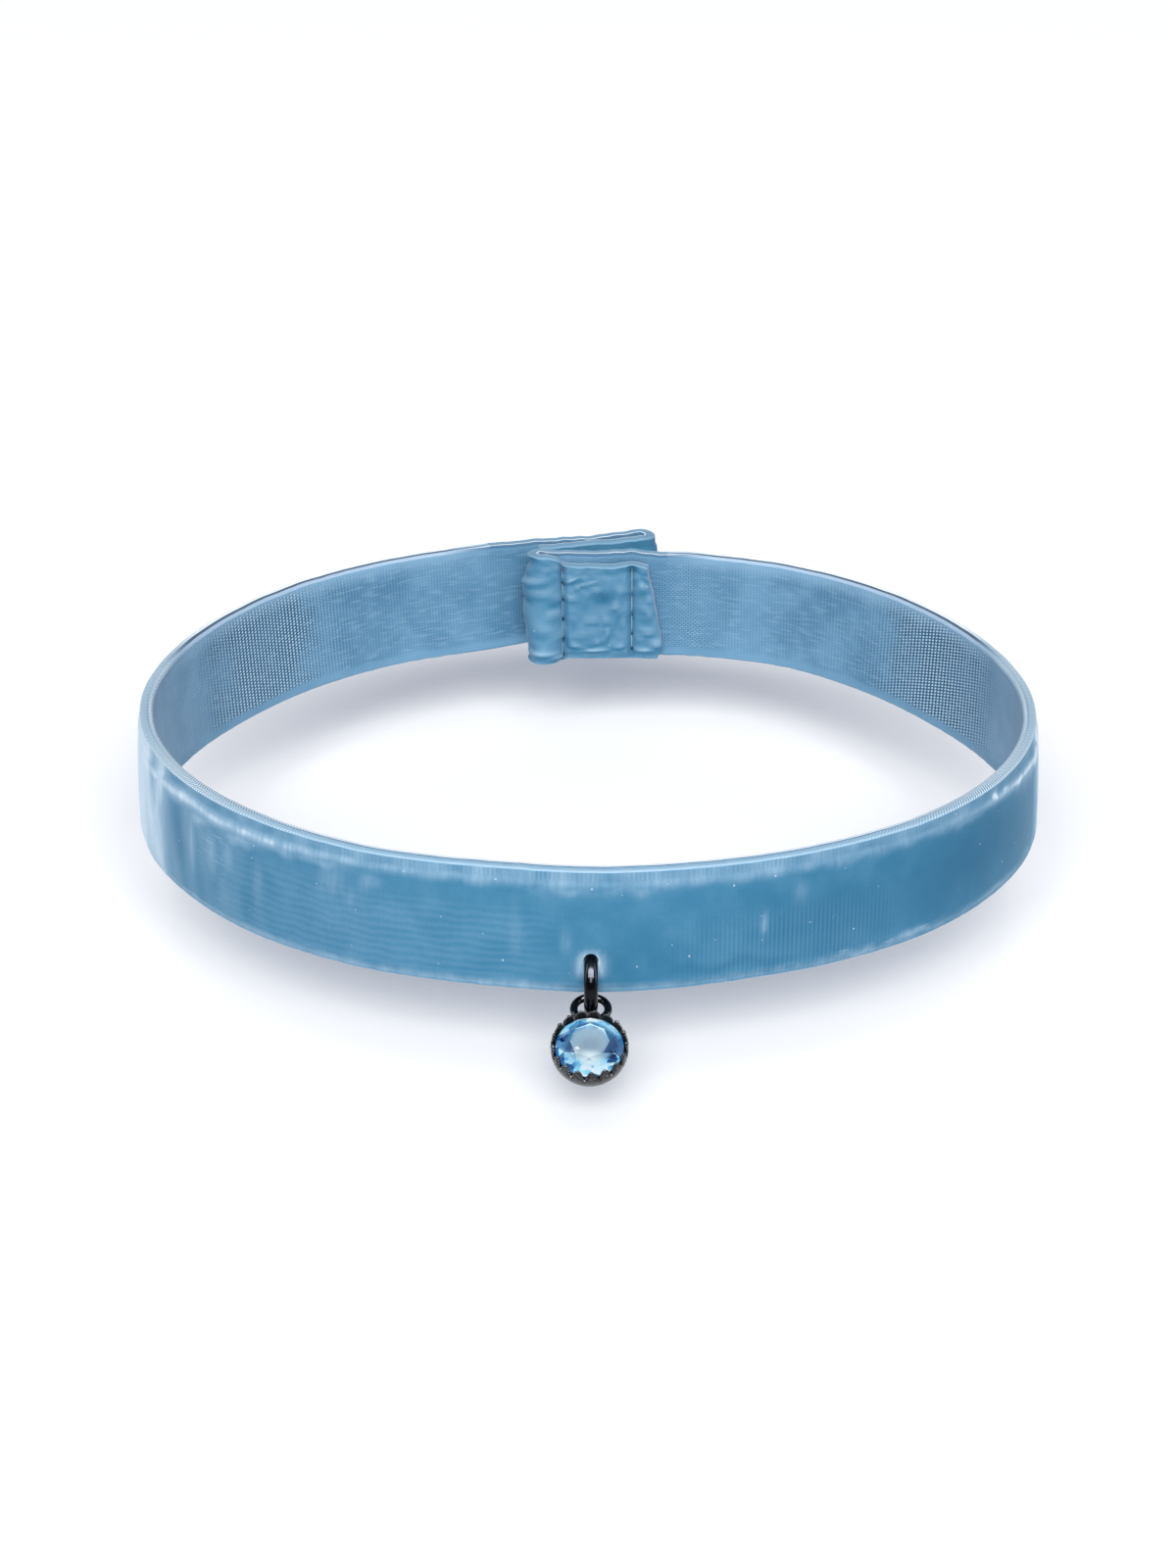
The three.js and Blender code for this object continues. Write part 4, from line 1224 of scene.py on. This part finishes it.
# the stone's blue by tone, from dark to clear; the tints that differ facet by facet are painted reflections
GLASS_BLUES_AND_REFLECTIONS = [
    (0.0, (0.001, 0.022, 0.110)), (0.35, (0.035, 0.180, 0.420)), (0.6, (0.200, 0.560, 0.820)),
    (0.8, (0.560, 0.880, 1.0)), (1.0, (0.970, 0.990, 1.0)),
]
FOIL_BLUES_AND_REFLECTIONS = [
    (0.0, (0.002, 0.022, 0.110)), (0.3, (0.022, 0.140, 0.360)), (0.5, (0.130, 0.400, 0.640)),
    (0.65, (0.300, 0.680, 0.850)), (0.8, (0.620, 0.910, 0.980)), (1.0, (0.960, 0.998, 1.0)),
]


def glass_material():
    """Cut glass in the stone's blue, each facet of the crown with its own body tint as a painted reflection.
    """
    material = new_material("cut_glass")
    s = Sheet(material.node_tree)
    smudges = s.marks(0.9, 0.05)["Smudges"]
    colour = s.blend(s.times(smudges, 0.03), s.ramp(s.mask("reflection_tone"), GLASS_BLUES_AND_REFLECTIONS), (0.90, 0.97, 1.0))
    s.finish(Base_Color=colour, Roughness=s.spread(smudges, 0.0, 0.03), Transmission_Weight=1.0, IOR=1.52)
    return material


# Painted reflections on the foil, as soft spots on the stone seen from above: middle and half size
WHOLE_STONE = ((0, 0), (1, 1))
CALM_REFLECTION = ((0.0, 0.42), (1.22, 1.02))
DARK_REFLECTION = ((0.0, 0.36), (0.75, 0.60))
LOW_GLOW = ((0.02, -0.42), (0.70, 0.50))
SIDE_GLINT = ((-0.74, 0.02), (0.11, 0.08))


def round_spot(s, across, up, middle, half):
    """The distance from a spot's middle, 1 at its rim."""
    x = s.maths("DIVIDE", s.less(across, middle[0]), half[0])
    y = s.maths("DIVIDE", s.less(up, middle[1]), half[1])
    return s.maths("SQRT", s.plus(s.times(x, x), s.times(y, y)))


def foil_material():
    """Mirror foil on the stone's underside, each facet in its own tone of blue as a painted reflection, with
    painted splinters, spots, glow and glint, and a painted glow of its own.
    """
    material = new_material("blue_foil")
    s = Sheet(material.node_tree)
    across, up = s.split(s.own_map("plan"))[:2]

    # painted splinters of reflected light and shadow, small round the rim and gone from the calm middle
    out = round_spot(s, across, up, *WHOLE_STONE)
    turn = s.times(s.maths("ARCTAN2", up, across), 3.4)
    fan = s.add("ShaderNodeCombineXYZ", {0: turn, 1: s.times(out, 1.7)}).outputs[0]
    splinter = s.less(s.cells(fan, 1.0)[1], 0.55)
    calm_reflection = s.between(round_spot(s, across, up, *CALM_REFLECTION), 1.20, 0.72)
    strength = s.times(s.between(out, 0.3, 1.5, 0.45, 1.40), s.rest(calm_reflection))
    reflection_tone = s.plus(s.mask("reflection_tone"), s.times(splinter, strength))

    middle = s.between(round_spot(s, across, up, *DARK_REFLECTION), 1.3, 0.1)
    glow = s.between(round_spot(s, across, up, *LOW_GLOW), 1.30, 0.0)
    glint = s.times(s.between(round_spot(s, across, up, *SIDE_GLINT), 1.8, 0.3), 0.75)
    colour = s.coats(
        s.ramp(reflection_tone, FOIL_BLUES_AND_REFLECTIONS),
        (calm_reflection, 0.94, s.blend(middle, (0.320, 0.460, 0.570), (0.250, 0.345, 0.450))),
        (glow, 0.80, (0.840, 0.980, 1.0)),
        (glint, 1.0, WHITE))
    mirror = s.blend(s.times(calm_reflection, 0.9), colour, (0.02, 0.03, 0.04))
    # a painted glow: the foil gives off light in its own colours, white at the glint and dimmer in the calm
    # middle
    painted_self_glow = s.blend(glint, s.blend(calm_reflection, s.blend(0.55, colour, BLACK), colour), WHITE)
    s.finish(Base_Color=mirror, Roughness=s.spread(s.marks(0.5, 0.06)["Smudges"], 0.26, 0.44),
             Emission_Color=painted_self_glow, Emission_Strength=0.95, Metallic=1.0)
    return material


def thread_material():
    """Sewing thread: two twisted plies."""
    material = new_material("sewing_thread")
    s = Sheet(material.node_tree)
    place = s.split(s.own_place())
    plies = s.ridges(s.plus(s.times(place[0], 1.4), place[2]), 0.11 * MM)
    colour = s.blend(plies, (0.090, 0.210, 0.330), (0.330, 0.480, 0.600))
    s.finish(Base_Color=colour, Roughness=s.between(plies, 0, 1, 0.7, 0.5), Normal=s.bump(plies, 0.6, 0.02))
    return material


def fastener_material():
    """Brushed loops of the closure pad."""
    material = new_material("fastener_loops")
    s = Sheet(material.node_tree)
    sizes = {"Cloud Size": 1.5 * MM, "Fibre Size": 0.10 * MM}
    clouds, fibres = s.group(FIBRES, {"Map": s.own_place(), **sizes})
    colour = s.blend(clouds, (0.050, 0.190, 0.350), (0.110, 0.300, 0.480))
    colour = s.blend(s.between(fibres, 0.45, 0.75), colour, (0.300, 0.520, 0.700))
    s.finish(Base_Color=colour, Roughness=s.between(clouds, 0.2, 0.8, 0.8, 0.95),
             Normal=s.bump(fibres, 1.0, 0.12),
             Sheen_Weight=0.3, Sheen_Roughness=0.5, Sheen_Tint=(0.8, 0.9, 1.0))
    return material


# ---- Hand modelling: pieces are made in millimetres round the origin and then set in place ----

# Two lengths within this of each other are the same
SAME = 1e-3


def begin(name):
    """Names the primitive just added and starts editing it with nothing selected."""
    piece = bpy.context.object
    piece.name = name
    piece.data.name = name
    bpy.ops.object.mode_set(mode="EDIT")
    bpy.ops.mesh.select_all(action="DESELECT")
    return piece


def clear_selection():
    bpy.ops.object.select_all(action="DESELECT")


def select_only(piece):
    clear_selection()
    piece.select_set(True)
    bpy.context.view_layer.objects.active = piece


def pick(piece, chosen):
    """Selects the points that chosen() accepts by their place, in edit mode."""
    work = bmesh.from_edit_mesh(piece.data)
    bpy.ops.mesh.select_mode(type="VERT")
    bpy.ops.mesh.select_all(action="DESELECT")
    for point in work.verts:
        point.select_set(bool(chosen(point.co)))
    work.select_flush_mode()
    bmesh.update_edit_mesh(piece.data)


def at_row(co, radius, height):
    """Whether a point lies on the ring of that radius and height."""
    return abs(math.hypot(co.x, co.y) - radius) < SAME and abs(co.z - height) < SAME


def finish_edit(recalculate=False):
    if recalculate:
        bpy.ops.mesh.select_all(action="SELECT")
        bpy.ops.mesh.normals_make_consistent(inside=False)
    bpy.ops.object.mode_set(mode="OBJECT")


def apply_modifier(piece, modifier):
    bpy.context.view_layer.objects.active = piece
    bpy.ops.object.modifier_apply(modifier=modifier.name)


def join(pieces):
    clear_selection()
    for piece in pieces:
        piece.select_set(True)
    bpy.context.view_layer.objects.active = pieces[0]
    bpy.ops.object.join()
    return pieces[0]


def set_in_place(piece, matrix=Matrix.Identity(4)):
    """Moves the piece's own place and turn, then matrix, all in millimetres, into its mesh in metres."""
    bpy.context.view_layer.update()
    piece.data.transform(Matrix.Scale(MM, 4) @ matrix @ piece.matrix_world)
    piece.matrix_world = Matrix.Identity(4)
    piece.data.update()


def copy_piece(piece, matrix):
    twin = piece.copy()
    twin.data = piece.data.copy()
    twin.data.transform(matrix)
    bpy.context.scene.collection.objects.link(twin)
    return twin


def smooth(piece, angle):
    select_only(piece)
    bpy.ops.object.shade_smooth_by_angle(angle=math.radians(angle))


def dress(piece, body, slot, node, *finishes):
    for finish in finishes:
        piece.data.materials.append(finish)
    if node:
        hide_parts(node)
    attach(piece, body)


def open_circle(name, sides, radius, place, turn):
    """A bare circle of edges, started for editing with all of it selected."""
    clear_selection()
    bpy.ops.mesh.primitive_circle_add(vertices=sides, radius=radius, fill_type="NOTHING",
                                      location=place, rotation=turn)
    bpy.ops.object.transform_apply(location=True, rotation=True, scale=True)
    circle = begin(name)
    bpy.ops.mesh.select_all(action="SELECT")
    return circle


def wire_ring(name, centre_line, wire, sides, steps, gap_degrees=0.0):
    """A round wire bent into a ring in the YZ plane, its ends a gap apart where it begins."""
    ring = open_circle(name, sides, wire, (0, 0, centre_line), (math.radians(90), 0, 0))
    bpy.ops.mesh.spin(steps=steps, angle=math.radians(360 - gap_degrees), center=(0, 0, 0), axis=(1, 0, 0))
    if gap_degrees:
        bpy.ops.mesh.select_all(action="DESELECT")
        bpy.ops.mesh.select_mode(type="EDGE")
        bpy.ops.mesh.select_non_manifold()
        bpy.ops.mesh.edge_face_add()
    else:
        bpy.ops.mesh.select_all(action="SELECT")
        bpy.ops.mesh.remove_doubles(threshold=SAME)
    finish_edit(recalculate=True)
    return ring


# ---- Jump ring ----

# The slit between the ring's ends in degrees, and how far round it is turned
RING_GAP = 0.9
RING_GAP_TURN = math.radians(150)


def build_jump_ring():
    ring = wire_ring("wire_ring", JUMP_RING["centre_line"], JUMP_RING["wire"], sides=28, steps=110,
                     gap_degrees=RING_GAP)
    turn = Matrix.Rotation(RING_GAP_TURN, 4, "X")
    place = Matrix.Translation((0, front_of_band(), JUMP_RING["height"] - BAND_HEIGHT / 2))
    set_in_place(ring, place @ turn)
    smooth(ring, 50)
    return ring


# ---- Crown setting ----

PRONGS = 17
FIRST_PRONG = math.radians(184.6)
COLUMNS_PER_PRONG = 14
ARCH_FOOT = -0.70
# Underside and outer wall from the back opening up to the arches' foot, as (radius, height)
WALL_ROWS = [
    (0.95, -2.00), (1.56, -2.00), (1.66, -1.985), (1.80, -1.90), (1.90, -1.845), (1.955, -1.80),
    (1.962, -1.775), (2.03, -1.742), (2.075, -1.66), (2.12, -1.57), (2.185, -1.44), (2.235, -1.30),
    (2.28, -1.14), (2.312, -1.00), (2.332, -0.85), (2.342, ARCH_FOOT),
]
ARCH_ROWS_OUT = [(2.340, 0.25), (2.325, 0.5), (2.300, 0.72), (2.270, 0.88), (2.245, 0.97), (2.225, 1.0)]
ARCH_ROWS_IN = [(2.120, 1.0), (2.100, 0.96), (2.100, 0.72), (2.100, 0.5), (2.100, 0.25), (2.100, 0.0)]
SEAT_ROWS = [(2.09, -0.74), (1.85, -0.86), (1.35, -1.48), (0.97, -1.74)]
# An arch's upper edge: distance from the prong's centre line, height
ARCH_LINE = [(0.0, 0.02), (0.058, 0.00), (0.116, -0.05), (0.174, -0.14), (0.233, -0.27), (0.291, -0.50),
             (0.349, -0.655), (0.407, -0.685)]
# Beads along an arch's edge on each side of its tip: distance from the centre line, height, radius
ARCH_BEADS = [
    (0.160, -0.090, 0.078), (0.243, -0.235, 0.074), (0.288, -0.400, 0.070), (0.328, -0.560, 0.066),
]
# How far out the beads sit, and how much further in at the top of the wall than half a millimetre down
BEADS_OUT = 2.30
BEADS_LEAN = 0.10
TIP_BEAD = {"out": 2.195, "height": 0.0, "radius": 0.105}
# Everything of the wall and its arches lies further out than this
WALL_INSIDE = 2.0
# The loop is cut off where it enters the cup's wall
LOOP_ROOT = 2.12


def build_wall():
    """The cup's wall, drawn up and over row by row and closed at the back opening, its arches cut."""
    radius, height = WALL_ROWS[0]
    columns = PRONGS * COLUMNS_PER_PRONG
    wall = open_circle("crown_cup", columns, radius, (0, 0, height), (0, 0, FIRST_PRONG))
    rows = list(WALL_ROWS[1:])
    rows += [(radius, ARCH_FOOT - ARCH_FOOT * share) for radius, share in ARCH_ROWS_OUT + ARCH_ROWS_IN]
    rows += SEAT_ROWS
    for new_radius, new_height in rows:
        bpy.ops.mesh.extrude_edges_move()
        grow = new_radius / radius
        bpy.ops.transform.resize(value=(grow, grow, 1), center_override=(0, 0, height))
        bpy.ops.transform.translate(value=(0, 0, new_height - height))
        radius, height = new_radius, new_height
    pick(wall, lambda co: at_row(co, radius, height) or at_row(co, *WALL_ROWS[0]))
    bpy.ops.mesh.select_mode(type="EDGE")
    bpy.ops.mesh.bridge_edge_loops()
    cut_arches(wall)
    finish_edit(recalculate=True)
    return wall


def from_prong(co):
    """Which column a point is on, counted from the nearest prong's centre line, 0 to 7."""
    turn = (math.atan2(co.y, co.x) - FIRST_PRONG - math.pi / 2) / (2 * math.pi)
    column = round(turn * PRONGS * COLUMNS_PER_PRONG) % COLUMNS_PER_PRONG
    return min(column, COLUMNS_PER_PRONG - column)


def cut_arches(wall):
    """Lowers each column of the arch rows, row by row, until their tops follow the arches' line."""
    shares = sorted({share for _, share in ARCH_ROWS_OUT + ARCH_ROWS_IN if share > 0}, reverse=True)
    for column, (_, top) in enumerate(ARCH_LINE):
        for share in shares:
            level = ARCH_FOOT - ARCH_FOOT * share
            pick(wall, lambda co: math.hypot(co.x, co.y) > WALL_INSIDE and abs(co.z - level) < SAME
                 and from_prong(co) == column)
            drop = ARCH_FOOT + (top - ARCH_FOOT) * share - level
            bpy.ops.transform.translate(value=(0, 0, drop))


def bead(name, radius, segments, rings):
    """A bead a little flattened on its upper side, as a soldered grain is."""
    clear_selection()
    bpy.ops.mesh.primitive_uv_sphere_add(segments=segments, ring_count=rings, radius=radius)
    grain = begin(name)
    shoulder = radius * 0.5
    pick(grain, lambda co: co.z > shoulder)
    bpy.ops.transform.resize(value=(1, 1, 0.85), center_override=(0, 0, shoulder))
    finish_edit()
    return grain


def finish_wall(wall, wall_finish, hollow_finish):
    """The wall in one finish, and its inside above the seat in the other."""
    wall.data.materials.append(wall_finish)
    wall.data.materials.append(hollow_finish)
    for polygon in wall.data.polygons:
        centre = polygon.center
        inward = polygon.normal.x * centre.x + polygon.normal.y * centre.y < 0
        polygon.material_index = int(inward and centre.z > SEAT_ROWS[1][1])


def set_beads(finish):
    """A large bead on the tip of every prong and four small ones down each side of its arch."""
    tip = bead("tip", TIP_BEAD["radius"], segments=16, rings=10)
    grain = bead("grain", 1.0, segments=8, rings=6)
    tip.data.materials.append(finish)
    grain.data.materials.append(finish)
    beads = []
    pitch = 2 * math.pi / PRONGS
    for i in range(PRONGS):
        turn = Matrix.Rotation(FIRST_PRONG + pitch * i, 4, "Z")
        beads.append(copy_piece(tip, turn @ Matrix.Translation((0, TIP_BEAD["out"], TIP_BEAD["height"]))))
        for aside, height, radius in ARCH_BEADS:
            for side in (-1, 1):
                out = BEADS_OUT - BEADS_LEAN * step_up(height, -0.5, 0.0).item()
                swing = Matrix.Rotation(side * aside / out, 4, "Z")
                place = Matrix.Translation((0, out, height)) @ Matrix.Scale(radius, 4)
                beads.append(copy_piece(grain, turn @ swing @ place))
    bpy.data.objects.remove(tip)
    bpy.data.objects.remove(grain)
    return beads


def build_loop(finish):
    """The loop that the jump ring passes through, without what would lie inside the cup."""
    loop = wire_ring("loop", DROP_LOOP["centre_line"], DROP_LOOP["wire"], sides=20, steps=64)
    lay_flat = Matrix.Rotation(math.radians(90), 4, "Y")
    centre = loop_place(DROP_LOOP["centre_line"])
    loop.data.transform(Matrix.Translation(centre) @ Matrix.Rotation(-DROP_LOOP["bend"], 4, "X") @ lay_flat)
    select_only(loop)
    bpy.ops.object.mode_set(mode="EDIT")
    bpy.ops.mesh.select_all(action="SELECT")
    bpy.ops.mesh.bisect(plane_co=(0, LOOP_ROOT, 0), plane_no=(0, -1, 0), use_fill=True, clear_outer=True)
    finish_edit(recalculate=True)
    loop.data.materials.append(finish)
    return loop


def build_setting(wall_finish, bead_finish, hollow_finish):
    wall = build_wall()
    finish_wall(wall, wall_finish, hollow_finish)
    setting = join([wall, *set_beads(bead_finish), build_loop(bead_finish)])
    setting.name = "crown_setting_cast"
    set_in_place(setting, drop_place())
    smooth(setting, 50)
    return setting


def loop_place(distance):
    bend = DROP_LOOP["bend"]
    return Vector((0, DROP_LOOP["from_axis"] + distance * math.cos(bend),
                   DROP_LOOP["height"] - distance * math.sin(bend)))


def drop_place():
    """From the setting's own frame, in millimetres, to where it hangs in the jump ring."""
    ring_bottom = JUMP_RING["height"] - (JUMP_RING["centre_line"] - JUMP_RING["wire"])
    hang = ring_bottom + DROP_LOOP["wire"] + LINK_GAP - BAND_HEIGHT / 2
    centre, far_wire = loop_place(DROP_LOOP["centre_line"]), loop_place(2 * DROP_LOOP["centre_line"])
    return (Matrix.Translation((0, front_of_band(), hang)) @ Matrix.Rotation(DROP_TILT, 4, "X")
            @ Matrix.Translation(centre - far_wire) @ Matrix.Rotation(DROP_TURN, 4, "Z")
            @ Matrix.Translation(-centre))


# ---- Stone ----

# Painted reflections, as tones from the right round by the top, 0 dark to 1 bright: the foil behind the eight
# main facets and the sixteen girdle facets as it shows through the table, the foil further out, and the glass
# of the crown's own bezel, star and rim facets
MAIN_REFLECTION_TONES = [0.44, 0.50, 0.50, 0.50, 0.53, 0.88, 1.00, 0.90]
GIRDLE_REFLECTION_TONES = [
    0.46, 0.50, 0.50, 0.48, 0.50, 0.50, 0.52, 0.55, 0.97, 0.80, 0.90, 1.00, 0.96, 0.86, 0.80, 0.30,
]
OUTER_REFLECTION_TONES = [
    0.72, 0.95, 0.82, 1.00, 1.00, 0.84, 0.92, 0.80, 0.96, 0.70, 0.90, 1.00, 0.92, 0.98, 0.86, 0.74,
]
BEZEL_REFLECTION_TINTS = [0.00, 0.62, 1.00, 0.66, 0.22, 0.62, 0.95, 0.80]
STAR_REFLECTION_TINTS = [0.16, 0.42, 0.20, 0.36, 0.02, 0.95, 0.95, 0.00]
RIM_REFLECTION_TINTS = [
    0.30, 0.55, 0.62, 1.00, 1.00, 0.60, 0.80, 0.10, 0.80, 0.00, 0.88, 0.97, 0.92, 0.90, 0.84, 0.02,
]
# The foil's painted reflection tones change across the sides of an octagon, by their distance from the middle
FOIL_OCTAGON = 1.42
OCTAGON_SIDES = [
    Vector((math.cos(turn), math.sin(turn), 0)) for turn in (math.radians(45 * k + 22.5) for k in range(8))
]
# A facet that meets the girdle in one point is ground through two, this many degrees to each side of it
FACET_TOUCH = 0.5
# A point this near to a cut counts as on it
GRIND = 1e-5


def facet(*corners):
    """Grinds one flat facet through three corners."""
    a, b, c = (Vector(corner) for corner in corners)
    normal = (b - a).cross(c - a).normalized()
    if normal.dot(a - Vector((0, 0, STONE["girdle"]))) < 0:
        normal.negate()
    bpy.ops.mesh.select_all(action="SELECT")
    bpy.ops.mesh.bisect(plane_co=a, plane_no=normal, use_fill=True, clear_outer=True, threshold=GRIND)


def ring_point(radius, degrees, height):
    turn = math.radians(degrees)
    return radius * math.cos(turn), radius * math.sin(turn), height


def grind_facets(foot, lower, upper, top):
    """Eight bezel, star and pavilion facets and, between them, pairs at the girdle, from the heights of the
    stone's point, of the girdle's two edges and of its table."""
    star_height = upper + STONE["crown"] * STONE["star_rise"]
    star, table, rim = STONE["star"], STONE["table"], STONE["radius"]
    low_radius = rim * (1 - STONE["lower_facets"])
    low_height = lower - STONE["pavilion"] * STONE["lower_facets"]
    for turn in range(0, 360, 45):
        middle = turn + 22.5
        star_point = ring_point(star, middle, star_height)
        low_point = ring_point(low_radius, middle, low_height)
        table_corner = ring_point(table, turn, top)
        beside = (turn - FACET_TOUCH, turn + FACET_TOUCH)
        facet(table_corner, *(ring_point(rim, side, upper) for side in beside))
        facet(table_corner, ring_point(table, turn + 45, top), star_point)
        facet((0, 0, foot), *(ring_point(rim, side, lower) for side in beside))
        for first, second in ((turn, middle), (middle, turn + 45)):
            facet(ring_point(rim, first, upper), ring_point(rim, second, upper), star_point)
            facet(ring_point(rim, first, lower), ring_point(rim, second, lower), low_point)


def build_stone():
    """A round brilliant, ground from a rod, with a map of its plan for the foil's pattern of painted
    reflections.
    """
    upper = STONE["girdle"] + STONE["girdle_height"] / 2
    lower = STONE["girdle"] - STONE["girdle_height"] / 2
    top = upper + STONE["crown"]
    foot = lower - STONE["pavilion"]
    clear_selection()
    bpy.ops.mesh.primitive_cylinder_add(vertices=96, radius=STONE["radius"], depth=top - foot,
                                        location=(0, 0, (top + foot) / 2))
    bpy.ops.object.transform_apply(location=True, rotation=True, scale=True)
    stone = begin("brilliant")
    grind_facets(foot, lower, upper, top)
    for out in OCTAGON_SIDES:
        bpy.ops.mesh.select_all(action="SELECT")
        bpy.ops.mesh.bisect(plane_co=out * FOIL_OCTAGON, plane_no=out, threshold=GRIND)
    finish_edit(recalculate=True)
    plan = stone.data.uv_layers.new(name="plan")
    for corner in stone.data.loops:
        point = stone.data.vertices[corner.vertex_index].co
        plan.data[corner.index].uv = point.x, point.y
    paint_facets(stone, lower)
    set_in_place(stone, drop_place())
    return stone


def paint_facets(stone, lower):
    """Foil on the underside and tints on the crown, toned facet by facet as painted reflections."""
    reflection_tones = stone.data.attributes.new("reflection_tone", "FLOAT", "FACE")
    for polygon in stone.data.polygons:
        normal, centre = polygon.normal, polygon.center
        turn = math.degrees(math.atan2(normal.y, normal.x)) % 360
        eighth, sixteenth = round(turn / 45) % 8, int(turn / 22.5) % 16
        on_eighth = abs((turn + 22.5) % 45 - 22.5) < 2
        if normal.z < -0.2 and centre.z < lower:
            polygon.material_index = 1
            if max(centre.dot(out) for out in OCTAGON_SIDES) > FOIL_OCTAGON:
                reflection_tone = OUTER_REFLECTION_TONES[sixteenth]
            else:
                reflection_tone = MAIN_REFLECTION_TONES[eighth] if on_eighth else GIRDLE_REFLECTION_TONES[sixteenth]
        elif normal.z > 0.99 or centre.z < lower:
            reflection_tone = 1.0
        elif on_eighth:
            reflection_tone = BEZEL_REFLECTION_TINTS[eighth]
        elif abs(turn % 45 - 22.5) < 2:
            reflection_tone = STAR_REFLECTION_TINTS[int(turn / 45) % 8]
        else:
            reflection_tone = RIM_REFLECTION_TINTS[sixteenth]
        reflection_tones.data[polygon.index].value = reflection_tone


# ---- Closure pad and sewing ----

# The pad's sides, and its near and far faces at the left and at the right side
FASTENER = {
    "left": -1.1, "right": 3.7, "low": 0.9, "high": 7.1, "near": (28.24, 28.30), "far": (28.62, 29.40),
}


def build_fastener():
    """A thin pad, its two faces following the layers that it holds together."""
    clear_selection()
    bpy.ops.mesh.primitive_cube_add(size=1)
    pad = begin("closure_pad")
    bpy.ops.mesh.select_all(action="SELECT")
    bpy.ops.mesh.subdivide(number_cuts=7)
    work = bmesh.from_edit_mesh(pad.data)
    for point in work.verts:
        share_x, share_y, share_z = (point.co[i] + 0.5 for i in range(3))
        near = np.interp(share_x, (0, 1), FASTENER["near"])
        far = np.interp(share_x, (0, 1), FASTENER["far"])
        point.co.x = FASTENER["left"] + share_x * (FASTENER["right"] - FASTENER["left"])
        point.co.y = near + share_y * (far - near)
        point.co.z = FASTENER["low"] + share_z * (FASTENER["high"] - FASTENER["low"]) - BAND_HEIGHT / 2
    bmesh.update_edit_mesh(pad.data)
    finish_edit()
    bevel = pad.modifiers.new("soft_edges", "BEVEL")
    bevel.width = 0.07
    bevel.segments = 3
    apply_modifier(pad, bevel)
    set_in_place(pad)
    smooth(pad, 40)
    return pad


# A stitch ends this far short of its two holes together, and bends at these shares of its length
STITCH_ROOM = 0.30
STITCH_BENDS = (-0.42, -0.3, -0.15, 0.0, 0.15, 0.3, 0.42)
# Share of the length from its middle, how much deeper the stitch lies there, and how much thinner it is
STITCH_DIPS = [(0.5, 0.16, 0.5), (0.42, 0.07, 0.85), (0.3, 0.02, 1.0)]


def build_stitches(band_surface):
    """One stitch between each two needle holes of a seam, dipping into the cloth at its ends."""
    stitches = []
    for seam in SEAMS:
        for top, bottom in zip(seam["holes"], seam["holes"][1:]):
            length = top - bottom - STITCH_ROOM
            clear_selection()
            bpy.ops.mesh.primitive_cylinder_add(vertices=10, radius=seam["thread"], depth=length,
                                                end_fill_type="TRIFAN")
            stitch = begin("stitch")
            for share in STITCH_BENDS:
                bpy.ops.mesh.select_all(action="SELECT")
                bpy.ops.mesh.bisect(plane_co=(0, 0, share * length), plane_no=(0, 0, 1))
            for reach, dip, shrink in STITCH_DIPS:
                for end in (-1, 1):
                    level = end * reach * length
                    pick(stitch, lambda co: abs(co.z - level) < SAME)
                    bpy.ops.transform.translate(value=(0, dip, 0))
                    bpy.ops.transform.resize(value=(shrink, shrink, 1), center_override=(0, dip, level))
            finish_edit(recalculate=True)
            height = (top + bottom) / 2
            place = band_surface(seam["x"], height)
            stitch.data.transform(Matrix.Translation((seam["x"], place, height - BAND_HEIGHT / 2)))
            stitches.append(stitch)
    seam = join(stitches)
    seam.name = "seam_stitches"
    set_in_place(seam)
    smooth(seam, 60)
    return seam


# The tab's near face: the room that it lies in, how far round a place it is felt, and how many in a hundred
# of the points there a stitch may sink below
TAB_FACE = {"near": 24, "far": 26.6, "half_width": 6}
TAB_FEEL = 0.3
TAB_SINK = 8


def tab_surface(band):
    """A look-up of the tab's near face: y at an x and height, in millimetres."""
    points = np.array([point.co for point in band.data.vertices]) / MM
    in_depth = (points[:, 1] > TAB_FACE["near"]) & (points[:, 1] < TAB_FACE["far"])
    face = points[in_depth & (abs(points[:, 0]) < TAB_FACE["half_width"])]

    def look(x, height):
        z = height - BAND_HEIGHT / 2
        close = face[np.hypot(face[:, 0] - x, face[:, 2] - z) < TAB_FEEL]
        return float(np.percentile(close[:, 1], TAB_SINK))

    return look


# ---- Making ----

bpy.context.scene.view_settings.view_transform = "Standard"
clear_selection()
place_camera()
place_floor()
light_studio()

band = build_ribbon()
pierce_ribbon(band)
for finish in (pile_material(), edge_material(), woven_material()):
    band.data.materials.append(finish)
smooth(band, 60)
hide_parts("velvet_band")
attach(band, "band")

dress(build_stitches(tab_surface(band)), "band", "velvet", None, thread_material())
dress(build_fastener(), "band", "fastener", "closure_fastener", fastener_material())
ring = build_jump_ring()
dress(ring, "ring", "gunmetal", "jump_ring", gunmetal("gunmetal_polished"))
cast, blackened, grains = (gunmetal("gunmetal_" + finish) for finish in ("cast", "blackened", "grains"))
setting = build_setting(cast, grains, blackened)
dress(setting, "drop", "gunmetal", "crown_setting")
cards_for_metal([ring, setting])
stone = build_stone()
dress(stone, "drop", "stone", "stone", glass_material(), foil_material())
